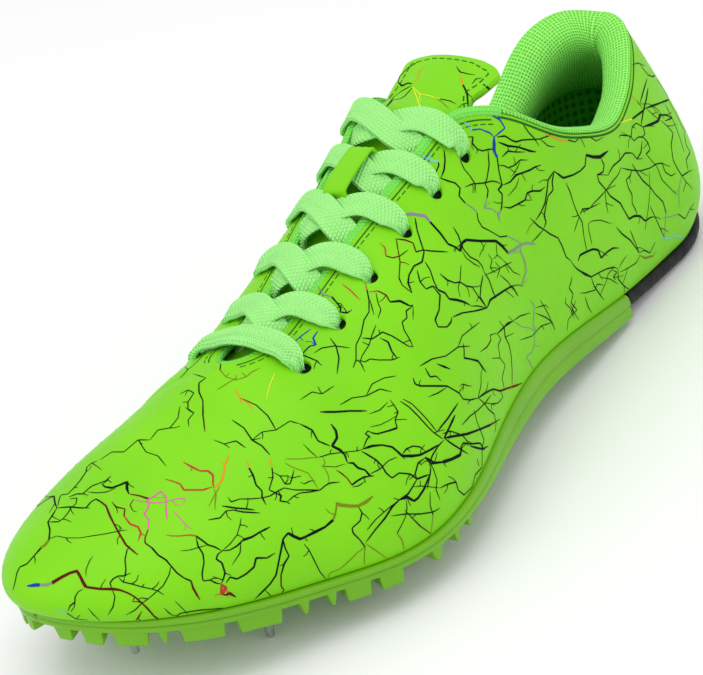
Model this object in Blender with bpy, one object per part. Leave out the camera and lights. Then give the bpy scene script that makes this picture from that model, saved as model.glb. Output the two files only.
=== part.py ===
"""Left track spike shoe: hollow lasted upper, tongue, collar, laces, stud plate, heel piece and pins.

+X runs to the toe, +Y to the outer side and +Z up. The origin is the middle of the heel's flat
on the floor. Every section follows the feather line, where upper and sole meet.
"""
import math

import bmesh
import bpy
import numpy as np

# Driving dimensions, in metres
LENGTH = 0.277
BALL_WIDTH = 0.090
INSTEP_HEIGHT = 0.087
HEEL_REACH = 0.0265
HEEL_ROUND = 0.032
TOE_ROUND = 0.065
UPPER_WALL = 0.0020
GAP = 0.0003

THROAT_END = 0.785
THROAT_ROUND = 0.060
EYELET_RADIUS = 0.0021

PLATE_THICKNESS = 0.0036
PLATE_FLANGE = 0.0013
PLATE_REAR = 0.245
LUG_DEPTH = 0.0040
LUG_WIDTH = 0.0065
HEEL_PIECE_THICKNESS = 0.0058
PIN_RADIUS = 0.0019
PIN_TIP_RADIUS = 0.0008
PIN_SHOULDER_RADIUS = 0.0030
PIN_SHOULDER_HEIGHT = 0.0020
PIN_LENGTH = 0.0155
PIN_BOSS_RADIUS = 0.0060
PIN_BOSS_HEIGHT = 0.0016

INSOLE_THICKNESS = 0.0030
TONGUE_THICKNESS = 0.0030
COLLAR_PAD_THICKNESS = 0.0085
COLLAR_PAD_DEPTH = 0.030
COLLAR_ROLL = 0.0026
PIPING_RADIUS = 0.0014
LACE_WIDTH = 0.0080
LACE_THICKNESS = 0.0015

# Feather line from above: half widths each side of a curved axis, as shares of BALL_WIDTH
FOOTPRINT = (
    # station, outer, inner, axis
    (0.00, 0.300, 0.300, 0.000),
    (0.12, 0.288, 0.290, 0.012),
    (0.26, 0.300, 0.286, 0.046),
    (0.37, 0.322, 0.283, 0.066),
    (0.45, 0.352, 0.290, 0.072),
    (0.56, 0.447, 0.333, 0.072),
    (0.62, 0.513, 0.360, 0.067),
    (0.69, 0.566, 0.395, 0.050),
    (0.75, 0.565, 0.385, 0.025),
    (0.81, 0.505, 0.365, 0.003),
    (0.86, 0.483, 0.358, -0.020),
    (0.92, 0.476, 0.344, -0.040),
    (1.00, 0.460, 0.330, -0.056),
)

# Height of the feather line over the floor, as shares of INSTEP_HEIGHT
FEATHER = (
    # station, height
    (0.00, 0.071),
    (0.15, 0.071),
    (0.26, 0.114),
    (0.37, 0.180),
    (0.45, 0.205),
    (0.50, 0.206),
    (0.60, 0.192),
    (0.69, 0.175),
    (0.73, 0.175),
    (0.82, 0.202),
    (0.92, 0.265),
    (1.00, 0.323),
)

# Upper edge of the upper: collar, throat and, past the throat, the spine of the vamp.
# Along is a share of LENGTH from the heel, middle of BALL_WIDTH, height of INSTEP_HEIGHT.
RIM = (
    # station, along, middle, height
    (0.00, 0.042, 0.000, 0.797),
    (0.02, 0.066, 0.003, 0.765),
    (0.05, 0.101, 0.011, 0.724),
    (0.10, 0.147, 0.031, 0.687),
    (0.15, 0.190, 0.054, 0.664),
    (0.20, 0.233, 0.078, 0.687),
    (0.25, 0.277, 0.089, 0.743),
    (0.30, 0.317, 0.090, 0.809),
    (0.35, 0.353, 0.086, 0.897),
    (0.39, 0.380, 0.077, 0.961),
    (0.43, 0.408, 0.060, 0.997),
    (0.47, 0.438, 0.056, 1.000),
    (0.52, 0.480, 0.059, 0.952),
    (0.58, 0.534, 0.065, 0.898),
    (0.64, 0.592, 0.073, 0.838),
    (0.70, 0.658, 0.075, 0.752),
    (0.75, 0.712, 0.072, 0.700),
    (0.785, 0.747, 0.062, 0.690),
    (0.83, 0.782, 0.038, 0.650),
    (0.87, 0.816, 0.012, 0.606),
    (0.91, 0.850, -0.010, 0.568),
    (0.95, 0.880, -0.032, 0.540),
    (1.00, 0.906, -0.056, 0.520),
)

# Half width of the collar and throat opening before its ends are rounded, as shares of BALL_WIDTH,
# and how much higher its inner side stands, as shares of INSTEP_HEIGHT
OPENING = (
    # station, half, inner_lift
    (0.00, 0.205, 0.000),
    (0.02, 0.208, 0.060),
    (0.05, 0.216, 0.095),
    (0.10, 0.230, 0.060),
    (0.15, 0.249, -0.010),
    (0.20, 0.256, -0.060),
    (0.25, 0.256, -0.080),
    (0.30, 0.255, -0.070),
    (0.35, 0.237, -0.050),
    (0.39, 0.212, -0.030),
    (0.43, 0.184, -0.010),
    (0.47, 0.161, 0.000),
    (0.52, 0.144, -0.010),
    (0.58, 0.128, -0.020),
    (0.64, 0.108, -0.030),
    (0.70, 0.090, -0.035),
    (0.80, 0.083, 0.000),
)

# Curve of the wall from feather to rim: how much of a quarter oval it covers, how full that oval is
# on each side, and the swell over the feather as a share of BALL_WIDTH at a height of INSTEP_HEIGHT
RIBS = (
    # station, reach, outer fullness, inner fullness, swell, swell_height
    (0.00, 0.35, 2.00, 2.00, 0.050, 0.230),
    (0.15, 0.40, 2.00, 2.00, 0.044, 0.240),
    (0.30, 0.50, 2.00, 2.00, 0.025, 0.230),
    (0.45, 0.65, 2.00, 2.00, 0.015, 0.200),
    (0.60, 0.80, 1.95, 1.80, 0.018, 0.180),
    (0.70, 0.90, 1.85, 1.50, 0.018, 0.160),
    (0.785, 1.00, 1.85, 1.42, 0.018, 0.140),
    (0.90, 1.00, 2.00, 1.90, 0.022, 0.125),
    (1.00, 1.00, 2.25, 2.35, 0.030, 0.115),
)


def smooth(rows, column, x):
    """Read a column of a table at x along a natural cubic spline."""
    knots = np.array([row[0] for row in rows], float)
    values = np.array([row[column] for row in rows], float)
    step = np.diff(knots)
    count = len(knots)
    matrix = np.eye(count)
    right = np.zeros(count)
    for i in range(1, count - 1):
        matrix[i, i - 1] = step[i - 1]
        matrix[i, i] = 2 * (step[i - 1] + step[i])
        matrix[i, i + 1] = step[i]
        right[i] = 6 * ((values[i + 1] - values[i]) / step[i] - (values[i] - values[i - 1]) / step[i - 1])
    bend = np.linalg.solve(matrix, right)
    x = np.clip(np.asarray(x, float), knots[0], knots[-1])
    k = np.clip(np.searchsorted(knots, x) - 1, 0, count - 2)
    back = x - knots[k]
    ahead = knots[k + 1] - x
    cubic = (bend[k] * ahead ** 3 + bend[k + 1] * back ** 3) / (6 * step[k])
    start = (values[k] / step[k] - bend[k] * step[k] / 6) * ahead
    end = (values[k + 1] / step[k] - bend[k + 1] * step[k] / 6) * back
    return cubic + start + end


def heel_rounding(s):
    """Share of the full width left by the round of the heel."""
    k = np.clip(1 - np.asarray(s, float) * LENGTH / HEEL_ROUND, 0, 1)
    return np.sqrt(1 - k ** 2)


def toe_rounding(s):
    """Share of the full width left by the round of the toe."""
    k = np.clip(1 - (1 - np.asarray(s, float)) * LENGTH / TOE_ROUND, 0, 1)
    return np.sqrt(1 - k ** 2.3)


def feather(s, side):
    """Points of the feather line on the outer (side 1) or inner (side -1) edge."""
    s = np.asarray(s, float)
    column = 1 if side > 0 else 2
    half = smooth(FOOTPRINT, column, s) * heel_rounding(s) * toe_rounding(s)
    y = (smooth(FOOTPRINT, 3, s) + side * half) * BALL_WIDTH
    return np.stack([s * LENGTH - HEEL_REACH, y, smooth(FEATHER, 1, s) * INSTEP_HEIGHT], -1)


def outward(s, side):
    """Level unit vector square to the feather line, pointing away from the foot."""
    s = np.asarray(s, float)
    nudge = 1e-4
    before = feather(np.clip(s - nudge, 0, 1), side)
    after = feather(np.clip(s + nudge, 0, 1), side)
    run = after - before
    across = np.stack([-side * run[..., 1], side * run[..., 0], np.zeros_like(s)], -1)
    return across / np.linalg.norm(across, axis=-1, keepdims=True)


def opening_half(s):
    """Half width of the opening, rounded at the heel and at the throat's foot."""
    k = np.clip((np.asarray(s, float) - THROAT_END + THROAT_ROUND) / THROAT_ROUND, 0, 1)
    return smooth(OPENING, 1, s) * BALL_WIDTH * heel_rounding(s) * np.sqrt(1 - k ** 2)


def rim(s, side):
    """Points of the collar and throat edge, and of the vamp's spine past the throat."""
    s = np.asarray(s, float)
    x = smooth(RIM, 1, s) * LENGTH - HEEL_REACH
    y = smooth(RIM, 2, s) * BALL_WIDTH + side * opening_half(s)
    z = smooth(RIM, 3, s) + (0 if side > 0 else 1) * smooth(OPENING, 2, s)
    return np.stack([x, y, z * INSTEP_HEIGHT], -1)


def spine_slope(s):
    """Slope of the vamp's spine along X, fading out up the throat."""
    s = np.asarray(s, float)
    nudge = 1e-3
    low = np.clip(s - nudge, 0, 1)
    high = np.clip(s + nudge, 0, 1)
    climb = (smooth(RIM, 3, high) - smooth(RIM, 3, low)) * INSTEP_HEIGHT
    run = (smooth(RIM, 1, high) - smooth(RIM, 1, low)) * LENGTH
    return climb / run * np.clip((s - THROAT_END) / THROAT_ROUND + 1, 0, 1)


def skin(s, rise, side):
    """Outer surface of the upper at a station, from the feather (rise 0) to the rim (rise 1)."""
    s, rise = np.broadcast_arrays(np.asarray(s, float), np.asarray(rise, float))
    low = feather(s, side)
    high = rim(s, side)
    reach = np.where(s >= THROAT_END, 1.0, np.clip(smooth(RIBS, 1, s), 0, 1)) * math.pi / 2
    power = 2 / smooth(RIBS, 2 if side > 0 else 3, s)
    inward = (1 - np.cos(rise * reach) ** power) / (1 - np.cos(reach) ** power)
    upward = np.sin(rise * reach) / np.sin(reach)
    share = np.stack([inward, inward, upward], -1)
    lift = upward * (high - low)[..., 2]
    q = lift / (smooth(RIBS, 5, s) * INSTEP_HEIGHT)
    swell = smooth(RIBS, 4, s) * BALL_WIDTH * q * np.exp(1 - q) * (1 - upward ** 2)
    point = low + (high - low) * share + outward(s, side) * swell[..., None]
    point[..., 2] -= spine_slope(s) * (high - low)[..., 0] * inward ** 2 * (1 - inward)
    return point


def skin_normal(s, rise, side):
    """Unit normal of the upper's outer surface, pointing away from the foot."""
    s, rise = np.broadcast_arrays(np.asarray(s, float), np.asarray(rise, float))
    nudge = 2e-3
    along = skin(np.clip(s + nudge, 0, 1), rise, side) - skin(np.clip(s - nudge, 0, 1), rise, side)
    up = skin(s, np.clip(rise + nudge, 0, 1), side) - skin(s, np.clip(rise - nudge, 0, 1), side)
    normal = -side * np.cross(along, up)
    return normal / np.linalg.norm(normal, axis=-1, keepdims=True)


def under(s, rise, side, depth):
    """Point at a depth below the upper's outer surface."""
    return skin(s, rise, side) - skin_normal(s, rise, side) * np.asarray(depth, float)[..., None]


def rise_below_rim(s, distance, side):
    """Rise of the point that lies a distance down the wall from the rim."""
    rises = np.linspace(1, 0, 61)
    rib = skin(np.full(61, s), rises, side)
    run = np.concatenate([[0], np.cumsum(np.linalg.norm(np.diff(rib, axis=0), axis=1))])
    return float(np.interp(distance, run, rises))


def material(name, colour, roughness, metallic=0.0):
    """Principled material of one piece."""
    made = bpy.data.materials.new(name)
    made.use_nodes = True
    shader = made.node_tree.nodes["Principled BSDF"]
    shader.inputs["Base Color"].default_value = (*colour, 1)
    shader.inputs["Roughness"].default_value = roughness
    shader.inputs["Metallic"].default_value = metallic
    return made


def add_piece(name, points, faces, look):
    """Add a smooth-shaded closed mesh as an object."""
    mesh = bpy.data.meshes.new(name)
    mesh.from_pydata([tuple(float(v) for v in point) for point in points], [], faces)
    mesh.validate()
    shaped = bmesh.new()
    shaped.from_mesh(mesh)
    bmesh.ops.recalc_face_normals(shaped, faces=shaped.faces)
    shaped.to_mesh(mesh)
    shaped.free()
    mesh.shade_smooth()
    mesh.set_sharp_from_angle(angle=math.radians(40))
    mesh.materials.append(look)
    made = bpy.data.objects.new(name, mesh)
    bpy.context.collection.objects.link(made)
    return made


def apply_boolean(piece, other, operation):
    """Join another solid to a piece, or cut it away, and remove the other one."""
    modifier = piece.modifiers.new(operation.title(), "BOOLEAN")
    modifier.object = other
    modifier.operation = operation
    modifier.solver = "EXACT"
    bpy.context.view_layer.update()
    shape = bpy.data.meshes.new_from_object(piece.evaluated_get(bpy.context.evaluated_depsgraph_get()))
    piece.modifiers.clear()
    piece.data = shape
    bpy.data.objects.remove(other)


def sections(name, rows, look):
    """Skin a list of equal closed sections, with flat ends."""
    count = len(rows[0])
    points = [point for row in rows for point in row]
    faces = []
    for j in range(len(rows) - 1):
        here = j * count
        there = here + count
        for i in range(count):
            k = (i + 1) % count
            faces.append((here + i, here + k, there + k, there + i))
    faces.append(tuple(range(count)))
    faces.append(tuple((len(rows) - 1) * count + i for i in range(count)))
    return add_piece(name, points, faces, look)


# Upper

RIB_COUNT = 38
RISE_COUNT = 10


def rib_stations():
    """Stations of the ribs, close together at heel and toe and around the throat's foot."""
    even = 0.5 * (1 - np.cos(np.pi * np.linspace(0, 1, RIB_COUNT + 1)))
    foot = [THROAT_END - share * THROAT_ROUND for share in (0.0, 0.10, 0.35, 0.70)]
    kept = [s for s in even if min(abs(s - f) for f in foot) > 0.006]
    return np.array(sorted(kept + foot))


def build_upper(look):
    """Hollow wall of the upper, open underneath and at collar and throat."""
    stations = rib_stations()
    last = len(stations) - 1
    ring = [(s, 1) for s in stations] + [(s, -1) for s in stations[-2:0:-1]]
    count = len(ring)
    rises = np.linspace(0, 1, RISE_COUNT + 1)
    outer = np.zeros((RISE_COUNT + 1, count, 3))
    inner = np.zeros((RISE_COUNT + 1, count, 3))
    for i, (s, side) in enumerate(ring):
        outer[:, i] = skin(np.full(RISE_COUNT + 1, s), rises, side)
        inner[:, i] = under(np.full(RISE_COUNT + 1, s), rises, side, np.full(RISE_COUNT + 1, UPPER_WALL))
    inner[0, :, 2] = outer[0, :, 2]
    points = list(outer.reshape(-1, 3)) + list(inner.reshape(-1, 3))
    inner_start = (RISE_COUNT + 1) * count

    def index(j, i, start):
        i = i % count
        if j == RISE_COUNT and i > last and ring[i][0] >= THROAT_END - 1e-9:
            i = count - i
        return start + j * count + i

    faces = []
    for i in range(count):
        for j in range(RISE_COUNT):
            quad = [index(j, i, 0), index(j, i + 1, 0), index(j + 1, i + 1, 0), index(j + 1, i, 0)]
            faces.append(tuple(dict.fromkeys(quad)))
            faces.append(tuple(inner_start + v for v in reversed(dict.fromkeys(quad))))
        low_edge = (index(0, i + 1, 0), index(0, i, 0))
        faces.append((*low_edge, low_edge[1] + inner_start, low_edge[0] + inner_start))
        open_edge = min(ring[i][0], ring[(i + 1) % count][0]) < THROAT_END - 1e-9
        if open_edge:
            a = index(RISE_COUNT, i, 0)
            b = index(RISE_COUNT, i + 1, 0)
            faces.append((a, b, inner_start + b, inner_start + a))
    used = sorted({v for face in faces for v in face})
    renumber = {v: k for k, v in enumerate(used)}
    faces = [tuple(renumber[v] for v in face) for face in faces]
    upper = add_piece("upper", [points[v] for v in used], faces, look)
    apply_boolean(upper, eyelet_cutter(), "DIFFERENCE")
    return upper


# Eyelets, from the throat's foot to its top
EYELETS = (
    # station, distance below the rim in metres
    (0.745, 0.0125),
    (0.695, 0.0120),
    (0.645, 0.0115),
    (0.583, 0.0110),
    (0.522, 0.0105),
    (0.462, 0.0100),
)


def eyelet(row, side):
    """Place and outward normal of an eyelet."""
    s, inset = EYELETS[row]
    rise = rise_below_rim(s, inset, side)
    return skin(s, rise, side), skin_normal(s, rise, side)


def eyelet_cutter():
    """Twelve short cylinders through the wall."""
    corners = 10
    reach = 2 * UPPER_WALL
    points = []
    faces = []
    for row in range(len(EYELETS)):
        for side in (1, -1):
            middle, normal = eyelet(row, side)
            first = np.cross(normal, (1, 0, 0))
            first = first / np.linalg.norm(first)
            second = np.cross(normal, first)
            start = len(points)
            for level in (-reach, reach):
                for k in range(corners):
                    angle = 2 * math.pi * k / corners
                    rim_point = first * math.cos(angle) + second * math.sin(angle)
                    points.append(middle + normal * level + rim_point * EYELET_RADIUS)
            low = [start + k for k in range(corners)]
            high = [start + corners + k for k in range(corners)]
            faces.append(tuple(low))
            faces.append(tuple(high))
            for k in range(corners):
                faces.append((low[k], low[(k + 1) % corners], high[(k + 1) % corners], high[k]))
    return add_piece("eyelet_cutter", points, faces, material("cutter", (0.5, 0.5, 0.5), 0.5))


# Padded collar lining: share of the full thickness and of the full depth along the collar
COLLAR_PAD = (
    # station, thickness, depth
    (0.00, 1.00, 1.00),
    (0.10, 1.00, 1.00),
    (0.20, 0.75, 0.80),
    (0.30, 0.50, 0.65),
    (0.40, 0.36, 0.50),
)
COLLAR_PAD_END = 0.385


def build_collar_pad(look):
    """Soft lining with a roll over the collar's edge."""
    rows = []
    reach = math.sqrt(COLLAR_PAD_END)
    for place in np.linspace(reach, -reach, 35):
        s = place ** 2
        side = 1 if place >= 0 else -1
        thick = COLLAR_PAD_THICKNESS * float(smooth(COLLAR_PAD, 1, s))
        depth = COLLAR_PAD_DEPTH * float(smooth(COLLAR_PAD, 2, s))
        low = rise_below_rim(s, depth, side)
        edge = skin(s, 1.0, side)
        normal = skin_normal(s, 1.0, side)
        up = edge - skin(s, 0.96, side)
        up = up / np.linalg.norm(up)
        row = []
        for share in (0.0, 0.5, 0.97):
            row.append(under(s, low + (1 - low) * share, side, UPPER_WALL + GAP))
        row.append(edge - normal * (UPPER_WALL + GAP) + up * GAP)
        row.append(edge - normal * 0.25 * UPPER_WALL + up * GAP)
        row.append(edge + normal * GAP + up * 0.45 * COLLAR_ROLL)
        row.append(edge - normal * 0.30 * UPPER_WALL + up * 0.85 * COLLAR_ROLL)
        row.append(edge - normal * (UPPER_WALL + 0.35 * thick) + up * COLLAR_ROLL)
        row.append(edge - normal * (UPPER_WALL + 0.80 * thick) + up * 0.45 * COLLAR_ROLL)
        for share, swell in ((0.93, 1.0), (0.70, 1.0), (0.40, 0.75), (0.15, 0.40)):
            row.append(under(s, low + (1 - low) * share, side, UPPER_WALL + GAP + thick * swell))
        rows.append(row)
    return sections("collar_pad", rows, look)


# Binding bead of the throat

def build_binding(look):
    """Rounded bead along the throat's edge, from one end of the collar pad to the other."""
    start = COLLAR_PAD_END + 0.012
    down = [(s, 1) for s in np.linspace(start, THROAT_END - THROAT_ROUND, 16)]
    turn = [(THROAT_END - THROAT_ROUND * (1 - math.sin(a)), 1) for a in np.linspace(0.25, math.pi / 2, 6)]
    half = down + turn
    path = half + [(s, -1) for s, _ in half[-2::-1]]
    edge = np.array([skin(s, 1.0, side) for s, side in path])
    normal = np.array([skin_normal(s, 0.995, side) for s, side in path])
    run = np.gradient(edge, axis=0)
    away = np.cross(run, normal)
    away = away / np.linalg.norm(away, axis=1, keepdims=True)
    rows = []
    for point, up, out in zip(edge, normal, away):
        middle = point - up * 0.5 * UPPER_WALL + out * (PIPING_RADIUS + GAP)
        row = []
        for k in range(6):
            angle = 2 * math.pi * k / 6
            row.append(middle + (out * math.cos(angle) + up * math.sin(angle)) * PIPING_RADIUS)
        rows.append(row)
    return sections("throat_binding", rows, look)


# Tongue: shape beyond the top of the throat
TONGUE_DEPTH = UPPER_WALL + 0.0012
TONGUE_UNDERLAP = 0.0075
TONGUE_TOP = (
    # reach past the last covered row, shift outward, half width, rise of the middle, drop of the sides, in metres
    (0.0040, 0.0003, 0.0132, 0.0014, 0.0024),
    (0.0080, 0.0007, 0.0140, 0.0028, 0.0024),
    (0.0115, 0.0011, 0.0150, 0.0040, 0.0024),
    (0.0140, 0.0013, 0.0152, 0.0047, 0.0022),
    (0.0158, 0.0014, 0.0130, 0.0050, 0.0016),
    (0.0168, 0.0015, 0.0085, 0.0051, 0.0007),
)
TONGUE_START = 0.765
TONGUE_COVERED = 0.430
TONGUE_TAPER = 0.070
TONGUE_FULLNESS = 0.65


def tongue_rows():
    """Top surface of the tongue, row by row from its foot to its top edge."""
    rows = []
    shares = np.linspace(-1, 1, 13)
    for s in np.linspace(TONGUE_START, TONGUE_COVERED, 12):
        underlap = TONGUE_UNDERLAP * min(1, 0.1 + (s - TONGUE_COVERED) / TONGUE_TAPER)
        outer_rise = rise_below_rim(s, underlap, 1)
        inner_rise = rise_below_rim(s, underlap, -1)
        outer_edge = under(s, 1.0, 1, TONGUE_DEPTH)
        inner_edge = under(s, 1.0, -1, TONGUE_DEPTH)
        outer_side = [under(s, outer_rise + (1 - outer_rise) * k, 1, TONGUE_DEPTH) for k in (0, 0.5)]
        inner_side = [under(s, inner_rise + (1 - inner_rise) * k, -1, TONGUE_DEPTH) for k in (0, 0.5)]
        width = np.linalg.norm(outer_edge - inner_edge)
        outer_slope = outer_edge - outer_side[1]
        outer_slope = outer_slope / np.linalg.norm(outer_slope) * width * TONGUE_FULLNESS
        inner_slope = inner_side[1] - inner_edge
        inner_slope = inner_slope / np.linalg.norm(inner_slope) * width * TONGUE_FULLNESS
        middle = []
        for u in np.linspace(0, 1, 9):
            h0 = 2 * u ** 3 - 3 * u ** 2 + 1
            h1 = u ** 3 - 2 * u ** 2 + u
            h2 = -2 * u ** 3 + 3 * u ** 2
            h3 = u ** 3 - u ** 2
            middle.append(outer_edge * h0 + outer_slope * h1 + inner_edge * h2 + inner_slope * h3)
        rows.append(outer_side + middle + inner_side[::-1])
    crown = np.array(rows[-1][len(rows[-1]) // 2])
    for reach, shift, half, lift, drop in TONGUE_TOP:
        row = []
        for share in -shares:
            row.append(crown + np.array((-reach, shift + share * half, lift - drop * share ** 2)))
        rows.append(row)
    return np.array(rows)


def build_tongue(look):
    """Tongue of even thickness under its top surface."""
    top = tongue_rows()
    along = np.gradient(top, axis=0)
    across = np.gradient(top, axis=1)
    normal = np.cross(across, along)
    normal = normal / np.linalg.norm(normal, axis=2, keepdims=True)
    if normal[0, 6, 2] < 0:
        normal = -normal
    bottom = top - normal * TONGUE_THICKNESS
    rows = [list(upper_row) + list(lower_row[::-1]) for upper_row, lower_row in zip(top, bottom)]
    return sections("tongue", rows, look)


# Laces

def surface_point(s, share, height):
    """Point over the throat: share 1 on the outer rim, -1 on the inner rim, beyond them down the wall."""
    side = 1 if share >= 0 else -1
    if abs(share) > 1:
        distance = (abs(share) - 1) * float(opening_half(s))
        rise = rise_below_rim(s, distance, side)
        return skin(s, rise, side) + skin_normal(s, rise, side) * height
    outer_edge = skin(s, 1.0, 1)
    inner_edge = skin(s, 1.0, -1)
    lift = skin_normal(s, 1.0, 1) + skin_normal(s, 1.0, -1)
    lift = lift / np.linalg.norm(lift)
    crown = 0.10 * np.linalg.norm(outer_edge - inner_edge) * (1 - share ** 2)
    flat = outer_edge * (1 + share) / 2 + inner_edge * (1 - share) / 2
    return flat + lift * (height + crown)


def lace_strip(name, places, look):
    """Flat strip of lace through surface places (station, share, height, width share)."""
    path = np.array([surface_point(s, share, height) for s, share, height, _ in places])
    above = np.array([surface_point(s, share, height + 0.002) for s, share, height, _ in places]) - path
    widths = np.array([width for _, _, _, width in places])
    knots = np.concatenate([[0], np.cumsum(np.linalg.norm(np.diff(path, axis=0), axis=1))])
    run = np.linspace(0, knots[-1], 11)
    centre = np.stack([smooth(list(zip(knots, path[:, c])), 1, run) for c in range(3)], 1)
    up = np.stack([np.interp(run, knots, above[:, c]) for c in range(3)], 1)
    width = np.interp(run, knots, widths) * LACE_WIDTH
    forward = np.gradient(centre, axis=0)
    sideways = np.cross(up, forward)
    sideways = sideways / np.linalg.norm(sideways, axis=1, keepdims=True)
    up = np.cross(forward, sideways)
    up = up / np.linalg.norm(up, axis=1, keepdims=True)
    rows = []
    for c, w, n, full in zip(centre, sideways, up, width):
        half = 0.5 * full
        thin = 0.5 * LACE_THICKNESS
        row = []
        for across, high in ((-1, 0), (-0.8, 1), (0.8, 1), (1, 0), (0.8, -1), (-0.8, -1)):
            row.append(c + w * half * across + n * thin * high)
        rows.append(row)
    return sections(name, rows, look)


LACE_LIFT = 0.0019
LACE_END_LIFT = 0.0013
LACE_LOW = -0.0010
LACE_START = 0.014
LACE_FOOT = 0.30
BAR_CLEARANCE = 0.026


def eyelet_share(row, side):
    """Share at which surface_point meets an eyelet."""
    s, inset = EYELETS[row]
    return side * (1 + inset / float(opening_half(s)))


def build_laces(look):
    """Bottom bar and five crossings, each crossing joined where its strips touch."""
    first = EYELETS[0][0]
    end = eyelet_share(0, 1)
    bar = [
        (first, end, LACE_END_LIFT, 0.62),
        (first + 0.002, 1.45, LACE_LIFT, 1.0),
        (first + 0.006, 0.5, LACE_LIFT, 1.0),
        (first + 0.006, -0.5, LACE_LIFT, 1.0),
        (first + 0.002, -1.45, LACE_LIFT, 1.0),
        (first, -end, LACE_END_LIFT, 0.62),
    ]
    lace_strip("lace_bar", bar, look)
    for row in range(len(EYELETS) - 1):
        low = EYELETS[row][0]
        high = EYELETS[row + 1][0]
        strips = []
        for side, mid_height in ((-1, 0.0022), (1, 0.0008)):
            far = eyelet_share(row + 1, side)
            start = BAR_CLEARANCE if row == 0 else LACE_START
            places = [
                (low - start, -side * LACE_FOOT, LACE_LOW, 0.75),
                (0.5 * low + 0.5 * high, side * 0.0, mid_height, 1.0),
                (0.25 * low + 0.75 * high, side * 0.9, LACE_LIFT + 0.0009, 1.0),
                (high + 0.003, side * (1 + 0.55 * (abs(far) - 1)), LACE_LIFT, 1.0),
                (high, far, LACE_END_LIFT, 0.62),
            ]
            strips.append(lace_strip("lace_cross_%d" % (row + 1), places, look))
        apply_boolean(strips[0], strips[1], "UNION")


def build_keeper(look):
    """Low arch on the tongue over the fourth crossing."""
    s = 0.5 * (EYELETS[3][0] + EYELETS[4][0])
    base = [surface_point(s + shift, 0.0, 0.0) for shift in (KEEPER_REACH, -KEEPER_REACH)]
    lift = surface_point(s, 0.0, 0.001) - surface_point(s, 0.0, 0.0)
    lift = lift / np.linalg.norm(lift)
    along = (base[1] - base[0]) / np.linalg.norm(base[1] - base[0])
    across = np.cross(lift, along)
    middle = 0.5 * (base[0] + base[1])
    length = np.linalg.norm(base[1] - base[0])
    profile = np.array([(0.5 * length * share, KEEPER_FOOT + KEEPER_HEIGHT * rise)
                        for share, rise in KEEPER_ARCH])
    run = np.gradient(profile, axis=0)
    run = run / np.linalg.norm(run, axis=1, keepdims=True)
    rows = []
    for (ahead, high), (step_ahead, step_high) in zip(profile, run):
        centre = middle + along * ahead + lift * high
        outward_side = lift * step_ahead - along * step_high
        row = []
        for wide, thick in ((-0.5, -0.5), (0.5, -0.5), (0.5, 0.5), (-0.5, 0.5)):
            edge = centre + across * (KEEPER_WIDTH * wide)
            row.append(edge + outward_side * (KEEPER_THICKNESS * thick))
        rows.append(row)
    return sections("tongue_keeper", rows, look)


KEEPER_REACH = 0.0315
KEEPER_WIDTH = 0.0060
KEEPER_THICKNESS = 0.0010
KEEPER_HEIGHT = 0.0066
KEEPER_FOOT = -0.0016

# Arch of the keeper: share of its half length, share of its height
KEEPER_ARCH = (
    (-1.00, 0.00),
    (-1.00, 0.45),
    (-0.97, 0.80),
    (-0.78, 1.00),
    (0.00, 1.05),
    (0.78, 1.00),
    (0.97, 0.80),
    (1.00, 0.45),
    (1.00, 0.00),
)


# Sole

def offset_line(s, side, out, drop):
    """Point beside the feather line, moved outward and down."""
    return feather(s, side) + outward(s, side) * out - np.array((0, 0, drop))


# Side of the stud plate, top to bottom: outward as a share of PLATE_FLANGE, down of PLATE_THICKNESS
PLATE_SIDE = (
    # out, down
    (0.30, 0.00),
    (0.85, 0.10),
    (1.00, 0.30),
    (0.95, 0.46),
    (0.60, 0.56),
    (0.85, 0.68),
    (0.75, 1.00),
)

# Outline of the plate past its flange: inward pull and outward flare of its lower side as shares of
# BALL_WIDTH, and extra thickness of the side ridges as a share of PLATE_THICKNESS
SHANK = (
    # station, pull, flare, ridge
    (0.245, 0.000, 0.010, 0.90),
    (0.37, 0.000, 0.014, 1.15),
    (0.46, 0.000, 0.014, 1.10),
    (0.54, 0.000, 0.011, 0.80),
    (0.62, 0.000, 0.006, 0.30),
    (0.70, 0.000, 0.000, 0.00),
    (0.90, 0.002, 0.000, 0.00),
    (0.96, 0.012, 0.000, 0.00),
    (1.00, 0.026, 0.000, 0.00),
)


def plate_shift(s):
    """Shift of the plate's edge, inward around the toe."""
    return -float(smooth(SHANK, 1, s)) * BALL_WIDTH


def plate_ring(s, side):
    """Side profile of the plate at a station, top edge first."""
    shift = plate_shift(s)
    flare = float(smooth(SHANK, 2, s)) * BALL_WIDTH
    ridge = float(smooth(SHANK, 3, s))
    points = []
    for out, down in PLATE_SIDE:
        reach = out * PLATE_FLANGE + shift + flare * down
        extra = ridge * PLATE_THICKNESS * down
        points.append(offset_line(s, side, reach, GAP + down * PLATE_THICKNESS + extra))
    return points


def build_plate(look):
    """Stud plate with its band, ridges, perimeter blocks and pin bosses."""
    places = PLATE_REAR + (1 - PLATE_REAR) * np.sin(0.5 * np.pi * np.linspace(0, 1, 33))
    rows = []
    for s in places[:-1]:
        outer_side = plate_ring(s, 1)
        inner_side = plate_ring(s, -1)
        rows.append(outer_side + inner_side[::-1])
    tip_out = np.array((1.0, 0, 0))
    tip = feather(1.0, 1)
    tip_row = [tip + tip_out * (out * PLATE_FLANGE + plate_shift(1.0))
               - np.array((0, 0, GAP + down * PLATE_THICKNESS)) for out, down in PLATE_SIDE]
    rows.append(tip_row + tip_row[::-1])
    plate = toe_closed("outsole_plate", rows, look)
    for lugs in (perimeter_blocks(1, look), perimeter_blocks(-1, look), pin_bosses(look)):
        apply_boolean(plate, lugs, "UNION")
    return plate


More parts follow.
